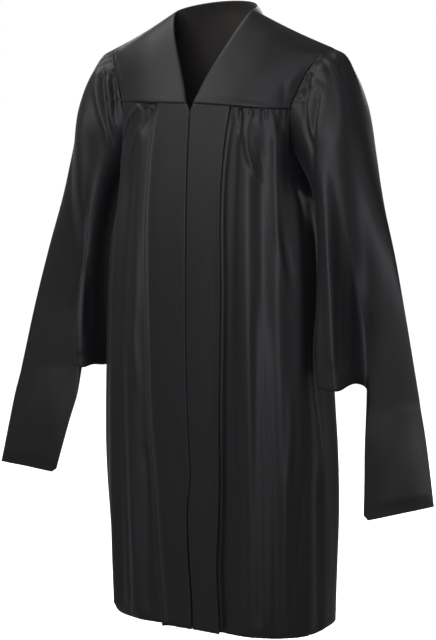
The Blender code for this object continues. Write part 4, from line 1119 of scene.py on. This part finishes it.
def sleeveTail(panel, end, columns, local):  # the closed part below the wrist, from the sleeve's last row
    size = sleeveForm
    innerTop, innerFoot, outerTop, outerFoot, innerHeight, outerHeight = panel["tail"]
    cuts = np.linspace(0.0, 1.0, size["tailRows"] + 1)[:, None]
    settled = smoothStep(cuts / 0.4)
    v = np.sin(local / 2.0) * (1.0 - settled) + (1.0 - np.cos(local)) / 2.0 * settled
    height = end[columns, 2] + (innerHeight + (outerHeight - innerHeight) * v - end[columns, 2]) * cuts
    inner = innerTop + (innerFoot - innerTop) * (height - size["tailTop"]) / (innerHeight - size["tailTop"])
    inner += size["cornerCut"] * smoothStep((cuts - 0.965) / 0.035)
    outer = outerTop + (outerFoot - outerTop) * (height - size["tailTop"]) / (outerHeight - size["tailTop"])
    closed = 1.0 - 0.92 * smoothStep((cuts - 0.85) / 0.15)
    topDepth = end[size["around"] // 2, 1]
    depth = topDepth + (size["tailDepth"] - topDepth) * cuts - size["tailHalfDepth"] * np.sin(local) * closed
    tail = np.stack([inner + (outer - inner) * v, depth, height], axis=-1)
    # The sleeve's own end dies away down the tail, so that the cloth runs on without a step
    carry = 1.0 - smoothStep(cuts / np.array([0.35, 0.55, 1.0]))
    tail = (tail + (end[columns] - tail[0])[None] * carry[:, None, :])[1:]
    tail[:, 0] = tail[:, -1] = (tail[:, 0] + tail[:, -1]) / 2.0
    return tail


def sleevePoints(panel):
    size = sleeveForm
    around, half, quarter = size["around"], size["around"] // 2, size["around"] // 4
    turn = np.arange(around) / around * 2.0 * math.pi
    along = (np.linspace(0.0, 1.0, size["down"]) ** size["rowCrowding"])[:, None]
    armhole = armholeRing(turn)
    armhole[:, 0] += gown["seamGap"]
    turns = sleeveTurns(panel, np.repeat(turn[None, :], len(along), axis=0), along)
    grid = sleeveSection(panel, turns, np.repeat(along, around, axis=1))
    start = sleeveSection(panel, turn, np.zeros(around))
    grid = grid + (armhole - start)[None] * (1.0 - smoothStep(along / size["settle"]))[..., None]

    # The wrist edge sags under the bag, then arches up before the tail begins
    u = (1.0 - np.cos(turns)) / 2.0
    grid[..., 2] -= readRows(panel["wristDrop"], u)[..., 0] * smoothStep((along - 0.82) / 0.18)

    columns = np.arange(quarter, 3 * quarter + 1)
    tail = sleeveTail(panel, grid[-1], columns, (columns - quarter) / half * 2.0 * math.pi)

    # Folds, on the sleeve and running on down the tail
    measures = np.stack(np.broadcast_arrays(turns / math.pi, along), axis=-1)
    away = surfaceNormals(grid, wrap=True)
    away = away * -np.sign(away[size["girthRow"], half // 2, 1])
    gathers = gatherRoutes(capGathers, panel["seed"], size["gathersFrom"], size["gathersTo"], 0.0,
                           size["gathers"])
    lift = foldLift(list(panel["folds"]) + gathers, measures, grid, away, size["foldSpacing"])
    lift += ripples(grid, size["ripples"], panel["seed"]) * smoothStep(along / 0.12)
    hold = 1.0 - 0.75 * hump(turn / math.pi - 1.0, 0.05) * smoothStep((along - 0.5) / 0.3)
    lift = lift * hold * smoothStep(along / 0.015)
    reachDown = np.linspace(0.0, 1.0, len(tail))[:, None]
    tailWave = softWaves(tail, *size["tailWave"], panel["seed"] + 2) * smoothStep(reachDown / 0.12)
    frontOrBack = np.where(columns <= half, -1.0, 1.0)
    tail[..., 1] += tailWave + lift[-1][columns] * frontOrBack * (1.0 - smoothStep(reachDown / 0.45))
    grid = grid + away * lift[..., None]

    grid[..., 0] *= panel["side"]
    tail[..., 0] *= panel["side"]
    return grid, tail, columns


def makeSleeve(panel):
    size = sleeveForm
    around, half = size["around"], size["around"] // 2
    grid, tail, columns = sleevePoints(panel)
    flip = panel["side"] < 0
    rowsDown, width = len(grid), len(columns)
    upper = gridCorners(rowsDown, around, wrap=True, flip=flip)
    girth = grid[size["girthRow"]]
    acrossUv = lengthAlong(np.concatenate([girth, girth[:1]]))
    downUv = lengthAlong(grid[:, half])
    upperUv = gridUvs(np.repeat(acrossUv[None, :], rowsDown, axis=0),
                      np.repeat(downUv[:, None], around + 1, axis=1), flip)

    # The tail's rows hang from the last row's outer half; its two layers meet along the inner edge
    points = np.concatenate([grid.reshape(-1, 3), tail[:, :-1].reshape(-1, 3)])
    ids = np.zeros((len(tail) + 1, width), dtype=int)
    ids[0] = (rowsDown - 1) * around + columns
    ids[1:, :-1] = rowsDown * around + np.arange(len(tail) * (width - 1)).reshape(len(tail), width - 1)
    ids[1:, -1] = ids[1:, 0]
    lower = np.stack([ids[:-1, :-1], ids[1:, :-1], ids[1:, 1:], ids[:-1, 1:]], axis=-1).reshape(-1, 4)
    tailDown = downUv[-1] + size["tailRowHeight"] * np.arange(len(tail) + 1)
    lowerUv = gridUvs(np.repeat(acrossUv[columns][None, :], len(tail) + 1, axis=0),
                      np.repeat(tailDown[:, None], width, axis=1), flip)
    # Close the foot: the two layers are sewn together along the tail's bottom
    last, bottom = ids[-1].tolist(), []
    for k in range(half // 2):
        corners = [last[k], last[(-1 - k) % width], last[(-2 - k) % width], last[k + 1]]
        if len(set(corners)) == 4:
            bottom.append(corners)
    bottom = np.array(bottom)
    if flip:
        lower, bottom = lower[:, ::-1], bottom[:, ::-1]
    uvs = np.concatenate([upperUv, lowerUv, np.zeros((len(bottom), 4, 2))])
    corners = np.concatenate([upper, lower, bottom])
    piece = sheetPiece(f"gownSleeve.{panel['label']}", points, corners, uvs, size["wall"], gownCloth)
    return sewOn(piece, f"sleeve_{panel['label']}"), grid, tail


sleevePieces, sleeveGrids, sleeveTails = {}, {}, {}
for panel in (leftSleeve, rightSleeve):
    label = panel["label"]
    sleevePieces[label], sleeveGrids[label], sleeveTails[label] = makeSleeve(panel)
print("sleeves made")


# Stitches

stitching = {
    "length": 0.0027,
    "pitch": 0.0035,
    "radius": 0.00032,
    "bevel": 0.00014,
    "proud": 0.00025,         # how far the thread lies above the cloth
    "aboveYokeSeam": 0.0060,
    "aboveHem": 0.0200,
    "aboveWrist": 0.0150,
    "aboveFoot": 0.0160,
}


def rowAbove(points, distance):  # the line on a panel that runs this far above its last row
    steps = np.linalg.norm(np.diff(points[::-1], axis=0), axis=2)
    climbed = np.concatenate([np.zeros((1, points.shape[1])), np.cumsum(steps, axis=0)])
    line = np.zeros((points.shape[1], 3))
    for column, axis in np.ndindex(line.shape):
        line[column, axis] = np.interp(distance, climbed[:, column], points[::-1, column, axis])
    return line


def freshPart(name, addShape, **form):  # one of Blender's plain shapes, its own size and turn taken in
    bpy.ops.object.select_all(action="DESELECT")
    addShape(**form)
    part = bpy.context.active_object
    part.name = name
    bpy.ops.object.transform_apply(location=True, rotation=True, scale=True)
    return part


def shortRod(name, vertices, radius, length, location, bevel):  # lies across, along X, with its ends broken
    rod = freshPart(name, bpy.ops.mesh.primitive_cylinder_add, vertices=vertices, radius=radius, depth=length,
                    rotation=(0.0, math.pi / 2, 0.0), location=location)
    bpy.ops.object.mode_set(mode="EDIT")
    bpy.ops.mesh.select_all(action="SELECT")
    bpy.ops.mesh.bevel(offset=bevel, segments=1, affect="EDGES")
    bpy.ops.object.mode_set(mode="OBJECT")
    return rod


def repeatEvery(piece, step):  # a row of copies, live until the modifiers are applied
    row = piece.modifiers.new("row", "ARRAY")
    row.use_relative_offset = False
    row.use_constant_offset = True
    row.constant_offset_displace = step
    return row


def addDetail(piece, material):  # a detail that stands on the cloth and replaces nothing
    piece.data.shade_smooth()
    piece.data.materials.clear()
    piece.data.materials.append(material)
    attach(piece, "root")


def lineOfStitches(name, line, away):
    line = line + away * stitching["proud"]
    path = bpy.data.curves.new("stitchPath", "CURVE")
    path.dimensions = "3D"
    spline = path.splines.new("POLY")
    spline.points.add(len(line) - 1)
    for point, place in zip(spline.points, line):
        point.co = (*place, 1.0)
    route = bpy.data.objects.new("stitchPath", path)
    bpy.context.scene.collection.objects.link(route)
    piece = shortRod(name, 6, stitching["radius"], stitching["length"], (stitching["pitch"] / 2, 0.0, 0.0),
                     stitching["bevel"])
    row = repeatEvery(piece, (stitching["pitch"], 0.0, 0.0))
    row.fit_type = "FIT_CURVE"
    row.curve = route
    follow = piece.modifiers.new("follow", "CURVE")
    follow.object = route
    follow.deform_axis = "POS_X"
    applyModifiers(piece)
    bpy.data.objects.remove(route)
    addDetail(piece, threadMaterial)


def outward(line):  # level directions away from the gown's middle
    way = line * np.array([1.0, 1.0, 0.0])
    return way / np.linalg.norm(way, axis=1)[:, None]


def straightAhead(line):
    return np.tile((0.0, -1.0, 0.0), (len(line), 1))


for label in ("left", "right"):
    hemLine = rowAbove(frontPoints[label], stitching["aboveHem"])
    wristEnd = sleeveForm["around"] // 4
    footEnd = len(sleeveTails[label][0]) // 2 - 1
    for name, line, directions in (
            ("stitchYoke", rowAbove(yokePoints[label], stitching["aboveYokeSeam"])[1:-1], outward),
            ("stitchHemCentre", hemLine[9:frontCentreColumns], outward),
            ("stitchHem", hemLine[frontColumns + 1:-2], outward),
            ("stitchWrist", rowAbove(sleeveGrids[label], stitching["aboveWrist"])[2:wristEnd], straightAhead),
            ("stitchFoot", rowAbove(sleeveTails[label], stitching["aboveFoot"])[2:footEnd], straightAhead)):
        lineOfStitches(f"{name}.{label}", line, directions(line))
for name, line in (("stitchYoke.back", rowAbove(backYokePoints, stitching["aboveYokeSeam"])[2:-2]),
                   ("stitchHem.back", rowAbove(backPoints, stitching["aboveHem"])[3:-3])):
    lineOfStitches(name, line, outward(line))
print("stitches made")


# Zip

zipParts = {
    "toothRadius": 0.00048,
    "toothPitch": 0.0014,
    "toothReach": 0.0027,     # half the width over the meshed coils
    "toothBevel": 0.0002,
    "topGap": 0.0008,         # from the chain's top to the first tooth
    "chainDepth": 0.0036,     # the coil lies this far behind the front's own surface
    "sliderWidth": 0.0068,
    "plate": 0.0011,
    "plateLength": 0.96,      # share of the slider's length
    "postWidth": 0.0014,
    "postLength": 0.30,
    "rounding": 0.0004,
    "bridgeRadius": 0.0024,
    "bridgeWire": 0.0005,
    "bridgeAhead": 0.0002,
}


def makeZipTeeth():
    low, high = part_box("zip_chain")
    piece = shortRod("zipCoil", 8, zipParts["toothRadius"], 2 * zipParts["toothReach"], (0.0, 0.0, 0.0),
                     zipParts["toothBevel"])
    row = repeatEvery(piece, (0.0, 0.0, -zipParts["toothPitch"]))
    row.count = int((high[2] - low[2]) / zipParts["toothPitch"])
    applyModifiers(piece)
    places = np.zeros(len(piece.data.vertices) * 3)
    piece.data.vertices.foreach_get("co", places)
    places = places.reshape(-1, 3)
    places[:, 2] += high[2] - zipParts["topGap"]
    rings = readRows(gown["rings"], places[:, 2])
    # The coil lies on the chain's face, and follows the front down
    places[:, 0] += rings[:, 0]
    places[:, 1] += zipParts["chainDepth"] - rings[:, 2]
    piece.data.vertices.foreach_set("co", places.ravel())
    piece.data.update()
    addDetail(piece, coilMaterial)


def makeZipSlider():
    low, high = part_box("zip_slider")
    across, deep, tall = ((a + b) / 2 for a, b in zip(low, high))
    length = high[2] - low[2]
    width, plate = zipParts["sliderWidth"], zipParts["plate"]
    plateLength = length * zipParts["plateLength"]
    made = []
    for depth, size in (
            (low[1] + plate / 2, (width, plate, plateLength)),
            (high[1] - plate / 2, (width, plate, plateLength)),
            (deep, (zipParts["postWidth"], high[1] - low[1] - plate, length * zipParts["postLength"]))):
        part = freshPart("sliderPlate", bpy.ops.mesh.primitive_cube_add, size=1.0, scale=size,
                         location=(across, depth, tall))
        edges = part.modifiers.new("rounding", "BEVEL")
        edges.width = min(zipParts["rounding"], size[1] * 0.35, size[0] * 0.35)
        edges.segments = 3
        applyModifiers(part)
        made.append(part)
    bridge = freshPart("sliderBridge", bpy.ops.mesh.primitive_torus_add, major_segments=28, minor_segments=10,
                       major_radius=zipParts["bridgeRadius"], minor_radius=zipParts["bridgeWire"],
                       rotation=(0.0, math.pi / 2, 0.0),
                       location=(across, low[1] - zipParts["bridgeAhead"], tall))
    bpy.ops.object.mode_set(mode="EDIT")
    bpy.ops.mesh.select_all(action="SELECT")
    bpy.ops.transform.resize(value=(1.0, 0.5, 1.0), center_override=(across, low[1], tall))
    bpy.ops.object.mode_set(mode="OBJECT")
    for part in made + [bridge]:
        part.select_set(True)
    bpy.context.view_layer.objects.active = made[0]
    bpy.ops.object.join()
    slider = bpy.context.active_object
    slider.name = "zipSlider"
    bpy.ops.object.shade_smooth_by_angle(angle=math.radians(40.0))
    slider.data.materials.clear()
    slider.data.materials.append(sliderMaterial)
    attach(slider, "root")
    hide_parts("zip_slider")


makeZipTeeth()
makeZipSlider()
print("zip made")


# Stage

def toward(azimuth, above):  # degrees round to the wearer's left from the front, and degrees up
    around, up = math.radians(azimuth), math.radians(above)
    return Vector((math.sin(around) * math.cos(up), -math.cos(around) * math.cos(up), math.sin(up)))


def setUp(name, data, aim, direction, distance):  # a lamp or a camera, looking back at its aim
    holder = bpy.data.objects.new(name, data)
    holder.location = aim + direction * distance
    holder.rotation_euler = (-direction).to_track_quat("-Z", "Y").to_euler()
    bpy.context.scene.collection.objects.link(holder)
    return holder


def addLight(name, azimuth, above, watts, colour):
    lamp = bpy.data.lights.new(name, "AREA")
    lamp.shape = "RECTANGLE"
    lamp.size, lamp.size_y = view["lightSize"]
    lamp.energy = watts
    lamp.color = colour
    setUp(name, lamp, Vector(view["lightAim"]), toward(azimuth, above), view["lightDistance"])


def setCamera():
    azimuth, across = math.radians(view["azimuth"]), view["aimAcross"]
    aim = Vector((across * math.cos(azimuth), across * math.sin(azimuth), view["aimHeight"]))
    camera = bpy.data.cameras.new("gownCamera")
    camera.lens = view["lens"]
    camera.sensor_width = 36.0
    camera.sensor_fit = "AUTO"
    direction = toward(view["azimuth"], view["above"])
    bpy.context.scene.camera = setUp("gownCamera", camera, aim, direction, view["distance"])


def setWorld():  # white to the camera, and a dim light on the gown
    world = bpy.data.worlds.new("studio")
    bpy.context.scene.world = world
    world.use_nodes = True
    tree = world.node_tree
    seen, white = tree.nodes["Background"], (1.0, 1.0, 1.0, 1.0)
    seen.inputs["Color"].default_value = white
    sockets = (("Color", white), ("Strength", view["worldLight"]))
    lit = addNode(tree, "ShaderNodeBackground", "Background", sockets)
    fromCamera = addNode(tree, "ShaderNodeLightPath", "Is Camera Ray", ())
    sockets = (("Fac", fromCamera), (1, lit), (2, seen.outputs["Background"]))
    chosen = addNode(tree, "ShaderNodeMixShader", "Shader", sockets)
    tree.links.new(chosen, tree.nodes["World Output"].inputs["Surface"])
    bpy.context.scene.view_settings.view_transform = "Standard"


def setFloor():  # a bright sweep: lit evenly by a lamp of its own, and throwing nothing back onto the gown
    floor = freshPart("studioFloor", bpy.ops.mesh.primitive_plane_add, size=120.0,
                      location=(0.0, 0.0, view["floor"]))
    material, _, shader = newMaterial("studio floor paint")
    shader.inputs["Base Color"].default_value = (0.93, 0.93, 0.93, 1.0)
    shader.inputs["Roughness"].default_value = 0.8
    floor.data.materials.append(material)
    floor.visible_diffuse = floor.visible_glossy = False
    onlyFloor = bpy.data.collections.new("floorOnly")
    onlyFloor.objects.link(floor)
    lamp = bpy.data.lights.new("floorLight", "SUN")
    lamp.energy = view["floorLight"]
    lamp.angle = math.radians(60.0)
    holder = bpy.data.objects.new("floorLight", lamp)
    holder.light_linking.receiver_collection = onlyFloor
    bpy.context.scene.collection.objects.link(holder)


setCamera()
for light in view["lights"]:
    addLight(*light)
setWorld()
setFloor()
print("stage set")

# The zip's tapes and chain keep their own meshes
for name, look in (("zip_tape_left", tapeCloth), ("zip_tape_right", tapeCloth), ("zip_chain", coilMaterial)):
    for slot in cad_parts[name].material_slots:
        slot.material = look
